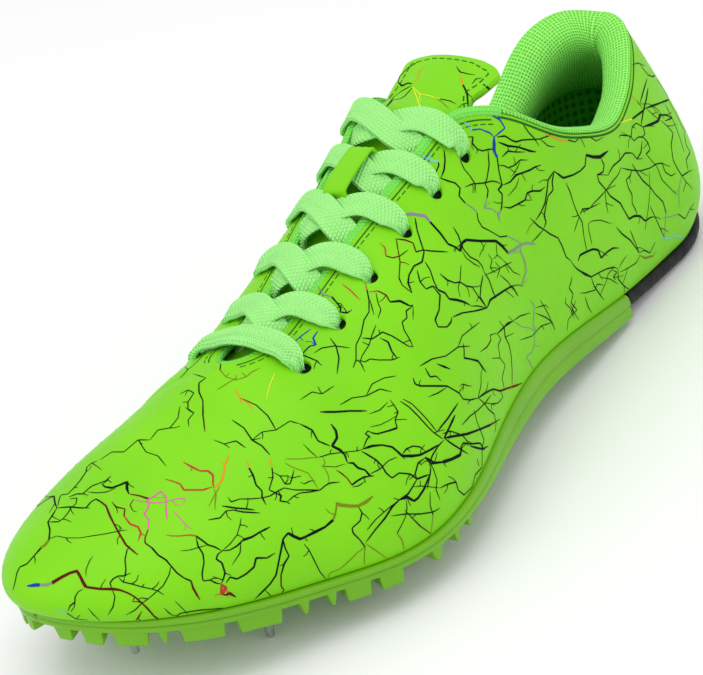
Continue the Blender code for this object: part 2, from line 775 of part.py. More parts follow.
def toe_closed(name, rows, look):
    """Skin sections whose last one folds onto itself at the toe."""
    count = len(rows[0])
    half = count // 2
    points = [point for row in rows[:-1] for point in row] + list(rows[-1][:half])
    tip = (len(rows) - 1) * count
    faces = [tuple(range(count))]
    for j in range(len(rows) - 1):
        for i in range(count):
            k = (i + 1) % count
            a = j * count + i
            b = j * count + k
            if j < len(rows) - 2:
                faces.append((a, b, b + count, a + count))
                continue
            c = tip + (k if k < half else count - 1 - k)
            d = tip + (i if i < half else count - 1 - i)
            faces.append(tuple(dict.fromkeys((a, b, c, d))))
    return add_piece(name, points, faces, look)


# Blocks and teeth around the forefoot, the same on both sides
BLOCKS = (
    # start, end, depth share, tip share of the length
    (0.655, 0.666, 0.85, 0.25),
    (0.677, 0.690, 0.90, 0.25),
    (0.704, 0.723, 0.95, 0.30),
    (0.752, 0.776, 1.00, 0.82),
    (0.782, 0.806, 1.00, 0.82),
    (0.811, 0.822, 0.90, 0.25),
    (0.835, 0.847, 0.90, 0.25),
    (0.860, 0.899, 1.00, 0.86),
    (0.907, 0.940, 1.00, 0.86),
    (0.946, 0.954, 0.85, 0.30),
    (0.9585, 0.9785, 1.00, 0.84),
    (0.9825, 0.9915, 1.00, 0.80),
    (0.9945, 0.9990, 0.95, 0.70),
)


def perimeter_blocks(side, look):
    """Blocks and teeth of one side, as one mesh of separate bodies."""
    points = []
    faces = []
    for start, end, depth, tip in BLOCKS:
        steps = 2
        centre = 0.5 * (start + end)
        base = len(points)
        for k in range(steps + 1):
            s = start + (end - start) * k / steps
            low = centre + (s - centre) * tip
            sink = GAP + 0.80 * PLATE_THICKNESS
            deep = GAP + PLATE_THICKNESS + LUG_DEPTH * depth
            face = 0.70 * PLATE_FLANGE + plate_shift(s)
            tip_face = 0.55 * PLATE_FLANGE + plate_shift(low)
            points.append(offset_line(s, side, face, sink))
            points.append(offset_line(s, side, face - LUG_WIDTH, sink))
            points.append(offset_line(low, side, tip_face - 0.80 * LUG_WIDTH, deep))
            points.append(offset_line(low, side, tip_face, deep))
        for k in range(steps):
            a = base + 4 * k
            for i in range(4):
                faces.append((a + i, a + (i + 1) % 4, a + 4 + (i + 1) % 4, a + 4 + i))
        faces.append(tuple(base + i for i in range(4)))
        faces.append(tuple(base + 4 * steps + i for i in range(4)))
    return add_piece("blocks", points, faces, look)


# Pins: station and share of the half width, outer side positive
PINS = (
    (0.712, 0.74),
    (0.706, -0.72),
    (0.842, 0.68),
    (0.836, -0.70),
    (0.925, 0.22),
    (0.905, -0.62),
)


def pin_place(s, share):
    """Level place of a pin and the height of the plate's underside there."""
    side = 1 if share > 0 else -1
    edge = feather(s, side)
    centre_y = smooth(FOOTPRINT, 3, s) * BALL_WIDTH
    y = centre_y + (edge[1] - centre_y) * abs(share)
    return edge[0], y, edge[2] - GAP - PLATE_THICKNESS


def turned(name, x, y, profile, look, corners=12):
    """Solid of revolution about an upright axis, with flat ends."""
    rows = []
    for radius, z in profile:
        row = []
        for k in range(corners):
            angle = 2 * math.pi * k / corners
            row.append((x + radius * math.cos(angle), y + radius * math.sin(angle), z))
        rows.append(row)
    return sections(name, rows, look)


def pin_bosses(look):
    """Low round bosses that carry the pins, as one mesh of separate bodies."""
    points = []
    faces = []
    corners = 12
    for s, share in PINS:
        x, y, z = pin_place(s, share)
        levels = ((PIN_BOSS_RADIUS, z + 0.5 * PLATE_THICKNESS), (PIN_BOSS_RADIUS, z - 0.6 * PIN_BOSS_HEIGHT),
                  (0.8 * PIN_BOSS_RADIUS, z - PIN_BOSS_HEIGHT))
        start = len(points)
        for radius, height in levels:
            for k in range(corners):
                angle = 2 * math.pi * k / corners
                points.append((x + radius * math.cos(angle), y + radius * math.sin(angle), height))
        for level in range(len(levels) - 1):
            a = start + level * corners
            for k in range(corners):
                m = (k + 1) % corners
                faces.append((a + k, a + m, a + corners + m, a + corners + k))
        faces.append(tuple(start + k for k in range(corners)))
        faces.append(tuple(start + (len(levels) - 1) * corners + k for k in range(corners)))
    return add_piece("bosses", points, faces, look)


def build_pins(look):
    """Cone pins below their bosses, cut short where they meet the floor."""
    for number, (s, share) in enumerate(PINS, 1):
        x, y, z = pin_place(s, share)
        top = z - PIN_BOSS_HEIGHT - GAP
        tip = max(z - PIN_LENGTH, 0.0)
        shoulder = top - PIN_SHOULDER_HEIGHT
        profile = (
            (PIN_SHOULDER_RADIUS, top),
            (PIN_SHOULDER_RADIUS, shoulder),
            (PIN_RADIUS, shoulder - 0.0004),
            (PIN_RADIUS, shoulder - 0.0016),
            (PIN_TIP_RADIUS, tip),
        )
        turned("pin_%d" % number, x, y, profile, look)


def build_heel_piece(look):
    """Black heel piece, flat on the floor under the heel."""
    places = PLATE_REAR * (1 - np.cos(0.5 * np.pi * np.linspace(0.06, 1, 18)))
    places = places * (PLATE_REAR - 0.004) / places[-1]
    rows = []
    for s in places:
        ring = []
        for side in (1, -1):
            pull = float(smooth(HEEL_PULL, 1, s)) * BALL_WIDTH
            profile = [offset_line(s, side, out - pull, GAP + down * HEEL_PIECE_THICKNESS)
                       for out, down in HEEL_SIDE]
            ring += profile if side > 0 else profile[::-1]
        rows.append(ring)
    for row in rows:
        for point in row:
            point[2] = max(point[2], 0.0)
    return sections("heel_outsole", rows, look)


# Side of the heel piece, top to bottom: outward in metres, down as a share of its thickness
HEEL_SIDE = (
    # out, down
    (0.0006, 0.00),
    (0.0014, 0.15),
    (0.0012, 0.55),
    (0.0000, 0.85),
    (-0.0016, 1.02),
)

HEEL_PULL = (
    # station, pull inward as a share of BALL_WIDTH
    (0.00, 0.000),
    (0.12, 0.000),
    (0.18, 0.002),
    (0.25, 0.004),
)


def build_insole(look):
    """Footbed inside the upper."""
    places = 0.5 * (1 - np.cos(np.pi * np.linspace(0.035, 0.965, 34)))
    inset = UPPER_WALL + 2 * GAP
    rows = []
    for s in places:
        outer_low = offset_line(s, 1, -inset, -GAP)
        inner_low = offset_line(s, -1, -inset, -GAP)
        lift = np.array((0, 0, INSOLE_THICKNESS))
        rows.append([outer_low, outer_low + lift, inner_low + lift, inner_low])
    return sections("insole", rows, look)


def main():
    for old in list(bpy.data.objects):
        bpy.data.objects.remove(old)
    green = material("coated green leather", (0.25, 0.79, 0.02), 0.38)
    mint = material("mint mesh", (0.36, 0.85, 0.30), 0.85)
    plate_green = material("green plate", (0.19, 0.58, 0.02), 0.32)
    black = material("black rubber", (0.015, 0.015, 0.016), 0.6)
    steel = material("pin steel", (0.55, 0.55, 0.53), 0.3, 1.0)
    footbed = material("dark green footbed", (0.05, 0.28, 0.04), 0.9)
    build_upper(green)
    build_collar_pad(mint)
    build_binding(mint)
    build_tongue(green)
    build_keeper(green)
    build_laces(mint)
    build_insole(footbed)
    build_plate(plate_green)
    build_heel_piece(black)
    build_pins(steel)


main()
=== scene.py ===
"""Looks of the left track spike shoe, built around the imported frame.

+X runs to the toe, +Y to the outer side and +Z up, in metres. The tables and shape functions repeat
those of the part, and every piece of this scene stands where its solid stands.
"""
import math

import bmesh
import bpy
import numpy as np
from mathutils import Matrix, Vector
from mathutils.bvhtree import BVHTree


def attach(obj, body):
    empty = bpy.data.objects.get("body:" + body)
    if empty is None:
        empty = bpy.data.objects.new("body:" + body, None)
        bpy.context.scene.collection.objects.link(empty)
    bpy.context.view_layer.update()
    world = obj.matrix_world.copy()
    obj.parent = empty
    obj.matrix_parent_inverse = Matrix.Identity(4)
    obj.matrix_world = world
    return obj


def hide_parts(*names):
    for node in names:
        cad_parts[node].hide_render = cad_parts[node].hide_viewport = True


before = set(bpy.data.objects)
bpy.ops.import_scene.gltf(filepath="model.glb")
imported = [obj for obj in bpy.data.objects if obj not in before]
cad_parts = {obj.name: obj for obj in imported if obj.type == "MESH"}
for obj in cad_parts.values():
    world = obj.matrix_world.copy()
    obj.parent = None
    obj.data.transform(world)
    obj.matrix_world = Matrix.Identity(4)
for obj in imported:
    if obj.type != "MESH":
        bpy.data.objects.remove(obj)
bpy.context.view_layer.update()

# Driving dimensions, in metres
LENGTH = 0.277
BALL_WIDTH = 0.090
INSTEP_HEIGHT = 0.087
HEEL_REACH = 0.0265
HEEL_ROUND = 0.032
TOE_ROUND = 0.065
UPPER_WALL = 0.0020
GAP = 0.0003

THROAT_END = 0.785
THROAT_ROUND = 0.060
EYELET_RADIUS = 0.0021

PLATE_THICKNESS = 0.0036
PLATE_FLANGE = 0.0013
PLATE_REAR = 0.245
LUG_DEPTH = 0.0040
LUG_WIDTH = 0.0065
HEEL_PIECE_THICKNESS = 0.0058
PIN_RADIUS = 0.0019
PIN_TIP_RADIUS = 0.0008
PIN_SHOULDER_RADIUS = 0.0030
PIN_SHOULDER_HEIGHT = 0.0020
PIN_LENGTH = 0.0155
PIN_BOSS_RADIUS = 0.0060
PIN_BOSS_HEIGHT = 0.0016

INSOLE_THICKNESS = 0.0030
TONGUE_THICKNESS = 0.0030
COLLAR_PAD_THICKNESS = 0.0085
COLLAR_PAD_DEPTH = 0.030
COLLAR_ROLL = 0.0026
PIPING_RADIUS = 0.0014
LACE_WIDTH = 0.0080
LACE_THICKNESS = 0.0015

# Feather line from above: half widths each side of a curved axis, as shares of BALL_WIDTH
FOOTPRINT = (
    # station, outer, inner, axis
    (0.00, 0.300, 0.300, 0.000),
    (0.12, 0.288, 0.290, 0.012),
    (0.26, 0.300, 0.286, 0.046),
    (0.37, 0.322, 0.283, 0.066),
    (0.45, 0.352, 0.290, 0.072),
    (0.56, 0.447, 0.333, 0.072),
    (0.62, 0.513, 0.360, 0.067),
    (0.69, 0.566, 0.395, 0.050),
    (0.75, 0.565, 0.385, 0.025),
    (0.81, 0.505, 0.365, 0.003),
    (0.86, 0.483, 0.358, -0.020),
    (0.92, 0.476, 0.344, -0.040),
    (1.00, 0.460, 0.330, -0.056),
)

# Height of the feather line over the floor, as shares of INSTEP_HEIGHT
FEATHER = (
    # station, height
    (0.00, 0.071),
    (0.15, 0.071),
    (0.26, 0.114),
    (0.37, 0.180),
    (0.45, 0.205),
    (0.50, 0.206),
    (0.60, 0.192),
    (0.69, 0.175),
    (0.73, 0.175),
    (0.82, 0.202),
    (0.92, 0.265),
    (1.00, 0.323),
)

# Upper edge of the upper: collar, throat and, past the throat, the spine of the vamp.
# Along is a share of LENGTH from the heel, middle of BALL_WIDTH, height of INSTEP_HEIGHT.
RIM = (
    # station, along, middle, height
    (0.00, 0.042, 0.000, 0.797),
    (0.02, 0.066, 0.003, 0.765),
    (0.05, 0.101, 0.011, 0.724),
    (0.10, 0.147, 0.031, 0.687),
    (0.15, 0.190, 0.054, 0.664),
    (0.20, 0.233, 0.078, 0.687),
    (0.25, 0.277, 0.089, 0.743),
    (0.30, 0.317, 0.090, 0.809),
    (0.35, 0.353, 0.086, 0.897),
    (0.39, 0.380, 0.077, 0.961),
    (0.43, 0.408, 0.060, 0.997),
    (0.47, 0.438, 0.056, 1.000),
    (0.52, 0.480, 0.059, 0.952),
    (0.58, 0.534, 0.065, 0.898),
    (0.64, 0.592, 0.073, 0.838),
    (0.70, 0.658, 0.075, 0.752),
    (0.75, 0.712, 0.072, 0.700),
    (0.785, 0.747, 0.062, 0.690),
    (0.83, 0.782, 0.038, 0.650),
    (0.87, 0.816, 0.012, 0.606),
    (0.91, 0.850, -0.010, 0.568),
    (0.95, 0.880, -0.032, 0.540),
    (1.00, 0.906, -0.056, 0.520),
)

# Half width of the collar and throat opening before its ends are rounded, as shares of BALL_WIDTH,
# and how much higher its inner side stands, as shares of INSTEP_HEIGHT
OPENING = (
    # station, half, inner_lift
    (0.00, 0.205, 0.000),
    (0.02, 0.208, 0.060),
    (0.05, 0.216, 0.095),
    (0.10, 0.230, 0.060),
    (0.15, 0.249, -0.010),
    (0.20, 0.256, -0.060),
    (0.25, 0.256, -0.080),
    (0.30, 0.255, -0.070),
    (0.35, 0.237, -0.050),
    (0.39, 0.212, -0.030),
    (0.43, 0.184, -0.010),
    (0.47, 0.161, 0.000),
    (0.52, 0.144, -0.010),
    (0.58, 0.128, -0.020),
    (0.64, 0.108, -0.030),
    (0.70, 0.090, -0.035),
    (0.80, 0.083, 0.000),
)

# Curve of the wall from feather to rim: how much of a quarter oval it covers, how full that oval is
# on each side, and the swell over the feather as a share of BALL_WIDTH at a height of INSTEP_HEIGHT
RIBS = (
    # station, reach, outer fullness, inner fullness, swell, swell_height
    (0.00, 0.35, 2.00, 2.00, 0.050, 0.230),
    (0.15, 0.40, 2.00, 2.00, 0.044, 0.240),
    (0.30, 0.50, 2.00, 2.00, 0.025, 0.230),
    (0.45, 0.65, 2.00, 2.00, 0.015, 0.200),
    (0.60, 0.80, 1.95, 1.80, 0.018, 0.180),
    (0.70, 0.90, 1.85, 1.50, 0.018, 0.160),
    (0.785, 1.00, 1.85, 1.42, 0.018, 0.140),
    (0.90, 1.00, 2.00, 1.90, 0.022, 0.125),
    (1.00, 1.00, 2.25, 2.35, 0.030, 0.115),
)


def smooth(rows, column, x):
    """Read a column of a table at x along a natural cubic spline."""
    knots = np.array([row[0] for row in rows], float)
    values = np.array([row[column] for row in rows], float)
    step = np.diff(knots)
    count = len(knots)
    matrix = np.eye(count)
    right = np.zeros(count)
    for i in range(1, count - 1):
        matrix[i, i - 1] = step[i - 1]
        matrix[i, i] = 2 * (step[i - 1] + step[i])
        matrix[i, i + 1] = step[i]
        right[i] = 6 * ((values[i + 1] - values[i]) / step[i] - (values[i] - values[i - 1]) / step[i - 1])
    bend = np.linalg.solve(matrix, right)
    x = np.clip(np.asarray(x, float), knots[0], knots[-1])
    k = np.clip(np.searchsorted(knots, x) - 1, 0, count - 2)
    back = x - knots[k]
    ahead = knots[k + 1] - x
    cubic = (bend[k] * ahead ** 3 + bend[k + 1] * back ** 3) / (6 * step[k])
    start = (values[k] / step[k] - bend[k] * step[k] / 6) * ahead
    end = (values[k + 1] / step[k] - bend[k + 1] * step[k] / 6) * back
    return cubic + start + end


def heel_rounding(s):
    """Share of the full width left by the round of the heel."""
    k = np.clip(1 - np.asarray(s, float) * LENGTH / HEEL_ROUND, 0, 1)
    return np.sqrt(1 - k ** 2)


def toe_rounding(s):
    """Share of the full width left by the round of the toe."""
    k = np.clip(1 - (1 - np.asarray(s, float)) * LENGTH / TOE_ROUND, 0, 1)
    return np.sqrt(1 - k ** 2.3)


def feather(s, side):
    """Points of the feather line on the outer (side 1) or inner (side -1) edge."""
    s = np.asarray(s, float)
    column = 1 if side > 0 else 2
    half = smooth(FOOTPRINT, column, s) * heel_rounding(s) * toe_rounding(s)
    y = (smooth(FOOTPRINT, 3, s) + side * half) * BALL_WIDTH
    return np.stack([s * LENGTH - HEEL_REACH, y, smooth(FEATHER, 1, s) * INSTEP_HEIGHT], -1)


def outward(s, side):
    """Level unit vector square to the feather line, pointing away from the foot."""
    s = np.asarray(s, float)
    nudge = 1e-4
    before = feather(np.clip(s - nudge, 0, 1), side)
    after = feather(np.clip(s + nudge, 0, 1), side)
    run = after - before
    across = np.stack([-side * run[..., 1], side * run[..., 0], np.zeros_like(s)], -1)
    return across / np.linalg.norm(across, axis=-1, keepdims=True)


def opening_half(s):
    """Half width of the opening, rounded at the heel and at the throat's foot."""
    k = np.clip((np.asarray(s, float) - THROAT_END + THROAT_ROUND) / THROAT_ROUND, 0, 1)
    return smooth(OPENING, 1, s) * BALL_WIDTH * heel_rounding(s) * np.sqrt(1 - k ** 2)


def rim(s, side):
    """Points of the collar and throat edge, and of the vamp's spine past the throat."""
    s = np.asarray(s, float)
    x = smooth(RIM, 1, s) * LENGTH - HEEL_REACH
    y = smooth(RIM, 2, s) * BALL_WIDTH + side * opening_half(s)
    z = smooth(RIM, 3, s) + (0 if side > 0 else 1) * smooth(OPENING, 2, s)
    return np.stack([x, y, z * INSTEP_HEIGHT], -1)


def spine_slope(s):
    """Slope of the vamp's spine along X, fading out up the throat."""
    s = np.asarray(s, float)
    nudge = 1e-3
    low = np.clip(s - nudge, 0, 1)
    high = np.clip(s + nudge, 0, 1)
    climb = (smooth(RIM, 3, high) - smooth(RIM, 3, low)) * INSTEP_HEIGHT
    run = (smooth(RIM, 1, high) - smooth(RIM, 1, low)) * LENGTH
    return climb / run * np.clip((s - THROAT_END) / THROAT_ROUND + 1, 0, 1)


def skin(s, rise, side):
    """Outer surface of the upper at a station, from the feather (rise 0) to the rim (rise 1)."""
    s, rise = np.broadcast_arrays(np.asarray(s, float), np.asarray(rise, float))
    low = feather(s, side)
    high = rim(s, side)
    reach = np.where(s >= THROAT_END, 1.0, np.clip(smooth(RIBS, 1, s), 0, 1)) * math.pi / 2
    power = 2 / smooth(RIBS, 2 if side > 0 else 3, s)
    inward = (1 - np.cos(rise * reach) ** power) / (1 - np.cos(reach) ** power)
    upward = np.sin(rise * reach) / np.sin(reach)
    share = np.stack([inward, inward, upward], -1)
    lift = upward * (high - low)[..., 2]
    q = lift / (smooth(RIBS, 5, s) * INSTEP_HEIGHT)
    swell = smooth(RIBS, 4, s) * BALL_WIDTH * q * np.exp(1 - q) * (1 - upward ** 2)
    point = low + (high - low) * share + outward(s, side) * swell[..., None]
    point[..., 2] -= spine_slope(s) * (high - low)[..., 0] * inward ** 2 * (1 - inward)
    return point


def skin_normal(s, rise, side):
    """Unit normal of the upper's outer surface, pointing away from the foot."""
    s, rise = np.broadcast_arrays(np.asarray(s, float), np.asarray(rise, float))
    nudge = 2e-3
    along = skin(np.clip(s + nudge, 0, 1), rise, side) - skin(np.clip(s - nudge, 0, 1), rise, side)
    up = skin(s, np.clip(rise + nudge, 0, 1), side) - skin(s, np.clip(rise - nudge, 0, 1), side)
    normal = -side * np.cross(along, up)
    return normal / np.linalg.norm(normal, axis=-1, keepdims=True)


def under(s, rise, side, depth):
    """Point at a depth below the upper's outer surface."""
    return skin(s, rise, side) - skin_normal(s, rise, side) * np.asarray(depth, float)[..., None]


def run_along(points):
    """Distance along a line from its first point to each of its points."""
    return np.concatenate([[0], np.cumsum(np.linalg.norm(np.diff(points, axis=0), axis=1))])


def rise_below_rim(s, distance, side):
    """Rise of the point that lies a distance down the wall from the rim."""
    rises = np.linspace(1, 0, 61)
    rib = skin(np.full(61, s), rises, side)
    return float(np.interp(distance, run_along(rib), rises))


# Padded collar lining: share of the full thickness and of the full depth along the collar
COLLAR_PAD = (
    # station, thickness, depth
    (0.00, 1.00, 1.00),
    (0.10, 1.00, 1.00),
    (0.20, 0.75, 0.80),
    (0.30, 0.50, 0.65),
    (0.40, 0.36, 0.50),
)
COLLAR_PAD_END = 0.385

# Tongue: shape beyond the top of the throat, in metres
TONGUE_DEPTH = UPPER_WALL + 0.0012
TONGUE_UNDERLAP = 0.0075
TONGUE_TOP = (
    # reach past the last covered row, shift outward, half width, rise of the middle, drop of the sides
    (0.0040, 0.0003, 0.0132, 0.0014, 0.0024),
    (0.0080, 0.0007, 0.0140, 0.0028, 0.0024),
    (0.0115, 0.0011, 0.0150, 0.0040, 0.0024),
    (0.0140, 0.0013, 0.0152, 0.0047, 0.0022),
    (0.0158, 0.0014, 0.0130, 0.0050, 0.0016),
    (0.0168, 0.0015, 0.0085, 0.0051, 0.0007),
)
TONGUE_START = 0.765
TONGUE_COVERED = 0.430
TONGUE_TAPER = 0.070
TONGUE_FULLNESS = 0.65

KEEPER_REACH = 0.0315
KEEPER_WIDTH = 0.0060
KEEPER_THICKNESS = 0.0010
KEEPER_HEIGHT = 0.0066
KEEPER_FOOT = -0.0016

# Arch of the keeper
KEEPER_ARCH = (
    # share of its half length, share of its height
    (-1.00, 0.00),
    (-1.00, 0.45),
    (-0.97, 0.80),
    (-0.78, 1.00),
    (0.00, 1.05),
    (0.78, 1.00),
    (0.97, 0.80),
    (1.00, 0.45),
    (1.00, 0.00),
)

# Side of the stud plate, top to bottom: outward as a share of PLATE_FLANGE, down of PLATE_THICKNESS
PLATE_SIDE = (
    # out, down
    (0.30, 0.00),
    (0.85, 0.10),
    (1.00, 0.30),
    (0.95, 0.46),
    (0.60, 0.56),
    (0.85, 0.68),
    (0.75, 1.00),
)

# Outline of the plate past its flange: inward pull and outward flare of its lower side as shares of
# BALL_WIDTH, and extra thickness of the side ridges as a share of PLATE_THICKNESS
SHANK = (
    # station, pull, flare, ridge
    (0.245, 0.000, 0.010, 0.90),
    (0.37, 0.000, 0.014, 1.15),
    (0.46, 0.000, 0.014, 1.10),
    (0.54, 0.000, 0.011, 0.80),
    (0.62, 0.000, 0.006, 0.30),
    (0.70, 0.000, 0.000, 0.00),
    (0.90, 0.002, 0.000, 0.00),
    (0.96, 0.012, 0.000, 0.00),
    (1.00, 0.026, 0.000, 0.00),
)


def plate_shift(s):
    """Shift of the plate's edge, inward around the toe."""
    return -float(smooth(SHANK, 1, s)) * BALL_WIDTH


# Blocks and teeth around the forefoot, the same on both sides
BLOCKS = (
    # start, end, depth share, tip share of the length
    (0.655, 0.666, 0.85, 0.25),
    (0.677, 0.690, 0.90, 0.25),
    (0.704, 0.723, 0.95, 0.30),
    (0.752, 0.776, 1.00, 0.82),
    (0.782, 0.806, 1.00, 0.82),
    (0.811, 0.822, 0.90, 0.25),
    (0.835, 0.847, 0.90, 0.25),
    (0.860, 0.899, 1.00, 0.86),
    (0.907, 0.940, 1.00, 0.86),
    (0.946, 0.954, 0.85, 0.30),
    (0.9585, 0.9785, 1.00, 0.84),
    (0.9825, 0.9915, 1.00, 0.80),
    (0.9945, 0.9990, 0.95, 0.70),
)

# Pins, the outer side's shares positive
PINS = (
    # station, share of the half width
    (0.712, 0.74),
    (0.706, -0.72),
    (0.842, 0.68),
    (0.836, -0.70),
    (0.925, 0.22),
    (0.905, -0.62),
)

# Side of the heel piece, top to bottom: outward in metres, down as a share of its thickness
HEEL_SIDE = (
    # out, down
    (0.0006, 0.00),
    (0.0014, 0.15),
    (0.0012, 0.55),
    (0.0000, 0.85),
    (-0.0016, 1.02),
)

HEEL_PULL = (
    # station, pull inward as a share of BALL_WIDTH
    (0.00, 0.000),
    (0.12, 0.000),
    (0.18, 0.002),
    (0.25, 0.004),
)

# Eyelets, from the throat's foot to its top
EYELETS = (
    # station, distance below the rim in metres
    (0.745, 0.0125),
    (0.695, 0.0120),
    (0.645, 0.0115),
    (0.583, 0.0110),
    (0.522, 0.0105),
    (0.462, 0.0100),
)


def eyelet(row, side):
    """Place and outward normal of an eyelet."""
    s, inset = EYELETS[row]
    rise = rise_below_rim(s, inset, side)
    return skin(s, rise, side), skin_normal(s, rise, side)


# Mesh helpers

def unit(vectors):
    """Vectors of length one along the last axis."""
    vectors = np.asarray(vectors, float)
    return vectors / np.maximum(np.linalg.norm(vectors, axis=-1, keepdims=True), 1e-12)


def spline(values, count):
    """Resample a list of points along its first axis with a natural cubic through all of them."""
    values = np.asarray(values, float)
    flat = values.reshape(len(values), -1)
    places = np.linspace(0, 1, len(values))
    wanted = np.linspace(0, 1, count)
    table = [(place, *row) for place, row in zip(places, flat)]
    columns = [smooth(table, column + 1, wanted) for column in range(flat.shape[1])]
    return np.stack(columns, -1).reshape(count, *values.shape[1:])


KNOT_POWER = 0.6


def closed_spline(points, count):
    """Resample a closed ring of points, rounded through all of them."""
    around = np.concatenate([points[-3:], points, points[:4]])
    step = np.linalg.norm(np.diff(around, axis=0), axis=1) ** KNOT_POWER
    knots = np.concatenate([[0], np.cumsum(step)])
    low = knots[3]
    high = knots[3 + len(points)]
    wanted = np.linspace(low, high, count + 1)[:-1]
    table = [(knot, *point) for knot, point in zip(knots, around)]
    return np.stack([smooth(table, column + 1, wanted) for column in range(3)], -1)


def make_mesh(name, points, faces, looks, slot_name, face_looks=None, uv=None, smooth_angle=40):
    """Mesh object that rides on the shoe; looks are its materials."""
    mesh = bpy.data.meshes.new(name)
    mesh.from_pydata([tuple(float(v) for v in point) for point in points], [], faces)
    if uv is not None:
        layer = mesh.uv_layers.new(name="UVMap")
        flat = np.array([uv[v] for face in faces for v in face], float)
        layer.data.foreach_set("uv", flat.reshape(-1))
    if face_looks is not None:
        mesh.polygons.foreach_set("material_index", face_looks)
    mesh.validate()
    mesh.shade_smooth()
    if smooth_angle:
        mesh.set_sharp_from_angle(angle=math.radians(smooth_angle))
    for look in looks:
        mesh.materials.append(look)
    made = bpy.data.objects.new(name, mesh)
    bpy.context.scene.collection.objects.link(made)
    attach(made, "root")
    return made


def ring_faces(rows, columns, start=0):
    """Quads of a row of sections, closed around each section, with flat ends."""
    faces = []
    for j in range(rows - 1):
        for i in range(columns):
            k = (i + 1) % columns
            a = start + j * columns
            faces.append((a + i, a + k, a + columns + k, a + columns + i))
    faces.append(tuple(start + i for i in range(columns))[::-1])
    faces.append(tuple(start + (rows - 1) * columns + i for i in range(columns)))
    return faces


def make_solid(*parts, **options):
    """Mesh object as make_mesh makes it, with all faces of its closed bodies turned outward."""
    made = make_mesh(*parts, **options)
    shape = bmesh.new()
    shape.from_mesh(made.data)
    bmesh.ops.recalc_face_normals(shape, faces=shape.faces)
    shape.to_mesh(made.data)
    shape.free()
    return made


def cut(piece, other):
    """Cut another solid away from a piece."""
    modifier = piece.modifiers.new("Cut", "BOOLEAN")
    modifier.object = other
    modifier.operation = "DIFFERENCE"
    modifier.solver = "EXACT"
    bpy.context.view_layer.update()
    shape = bpy.data.meshes.new_from_object(piece.evaluated_get(bpy.context.evaluated_depsgraph_get()))
    piece.modifiers.clear()
    piece.data = shape
    bpy.data.objects.remove(other)


RIB_HEIGHT = 0.16


def swept(path, above, width, thick, ribs, name, look, slot_name):
    """Flat woven strip along a path: its points, the vectors above them, and width and thickness there."""
    forward = unit(np.gradient(path, axis=0))
    sideways = unit(np.cross(above, forward))
    up = unit(np.cross(forward, sideways))
    profile = [-0.90 + 1.80 * k / (ribs - 1) for k in range(ribs)]
    section = [(x, 1.0 + RIB_HEIGHT * math.cos(math.pi * (k % 2))) for k, x in enumerate(profile)]
    section = [(-1.0, 0.0), (-0.97, 0.62)] + section + [(0.97, 0.62), (1.0, 0.0), (0.97, -0.62)]
    section += [(x, -1.0) for x in profile[::-3]] + [(-0.97, -0.62)]
    run = run_along(path)
    points = []
    uv = []
    around = np.concatenate([[0], np.cumsum([math.hypot(b[0] - a[0], 0.15 * (b[1] - a[1]))
                                             for a, b in zip(section, section[1:])])])
    for c, w, n, wide, high, along in zip(path, sideways, up, width, thick, run):
        for (across, lift), turn in zip(section, around):
            points.append(c + w * (0.5 * wide * across) + n * (0.5 * high * lift))
            uv.append((along, turn * 0.5 * LACE_WIDTH))
    faces = ring_faces(len(path), len(section))
    return make_solid(name, points, faces, [look], slot_name, uv=uv, smooth_angle=60)


# Materials

class Look:
    """Small helper for building one procedural material."""

    def __init__(self, name, colour, roughness, metallic=0.0):
        self.material = bpy.data.materials.new(name)
        self.material.use_nodes = True
        self.tree = self.material.node_tree
        self.shader = self.tree.nodes["Principled BSDF"]
        self.set("Base Color", (*colour, 1))
        self.set("Roughness", roughness)
        self.set("Metallic", metallic)
        self.place = self.tree.nodes.new("ShaderNodeTexCoord")
        self.height = None

    def set(self, socket, value):
        """Value of one of the shader's own sockets."""
        self.shader.inputs[socket].default_value = value

    def link(self, start, end):
        self.tree.links.new(start, end)

    def node(self, kind, **values):
        """New node with values for its sockets, or for its own settings where a name starts with _."""
        made = self.tree.nodes.new("ShaderNode" + kind)
        for key, value in values.items():
            if key.startswith("_"):
                setattr(made, key[1:], value)
            else:
                made.inputs[key.replace("_", " ")].default_value = value
        return made

    def noise(self, scale, detail=3.0):
        """Noise in the shoe's own coordinates."""
        made = self.node("TexNoise", Scale=scale, Detail=detail, Roughness=0.5)
        self.link(self.place.outputs["Object"], made.inputs["Vector"])
        return made.outputs["Fac"]

    def spread(self, fac, low, high):
        """Map the middle of a 0 to 1 value to a range."""
        made = self.node("MapRange")
        made.inputs["From Min"].default_value = 0.3
        made.inputs["From Max"].default_value = 0.7
        made.inputs["To Min"].default_value = low
        made.inputs["To Max"].default_value = high
        self.link(fac, made.inputs["Value"])
        return made.outputs["Result"]

    def blend(self, fac, first, second):
        """Colour between two by a 0 to 1 value."""
        made = self.node("MixRGB")
        self.link(fac, made.inputs["Fac"])
        for socket, value in (("Color1", first), ("Color2", second)):
            if isinstance(value, tuple):
                made.inputs[socket].default_value = (*value, 1)
            else:
                self.link(value, made.inputs[socket])
        return made.outputs["Color"]

    def math(self, operation, first, second=0.0):
        """Output of a Math node on outputs or numbers."""
        made = self.node("Math", _operation=operation)
        for k, value in enumerate((first, second)):
            if isinstance(value, (int, float)):
                made.inputs[k].default_value = value
            else:
                self.link(value, made.inputs[k])
        return made.outputs[0]

    def colour(self, output):
        self.link(output, self.shader.inputs["Base Color"])

    def roughness(self, output):
        self.link(output, self.shader.inputs["Roughness"])

    def bump(self, output, distance, strength=1.0):
        """Stack a bump on those before it."""
        made = self.node("Bump", Strength=strength, Distance=distance)
        self.link(output, made.inputs["Height"])
        if self.height is not None:
            self.link(self.height, made.inputs["Normal"])
        self.height = made.outputs["Normal"]
        self.link(self.height, self.shader.inputs["Normal"])


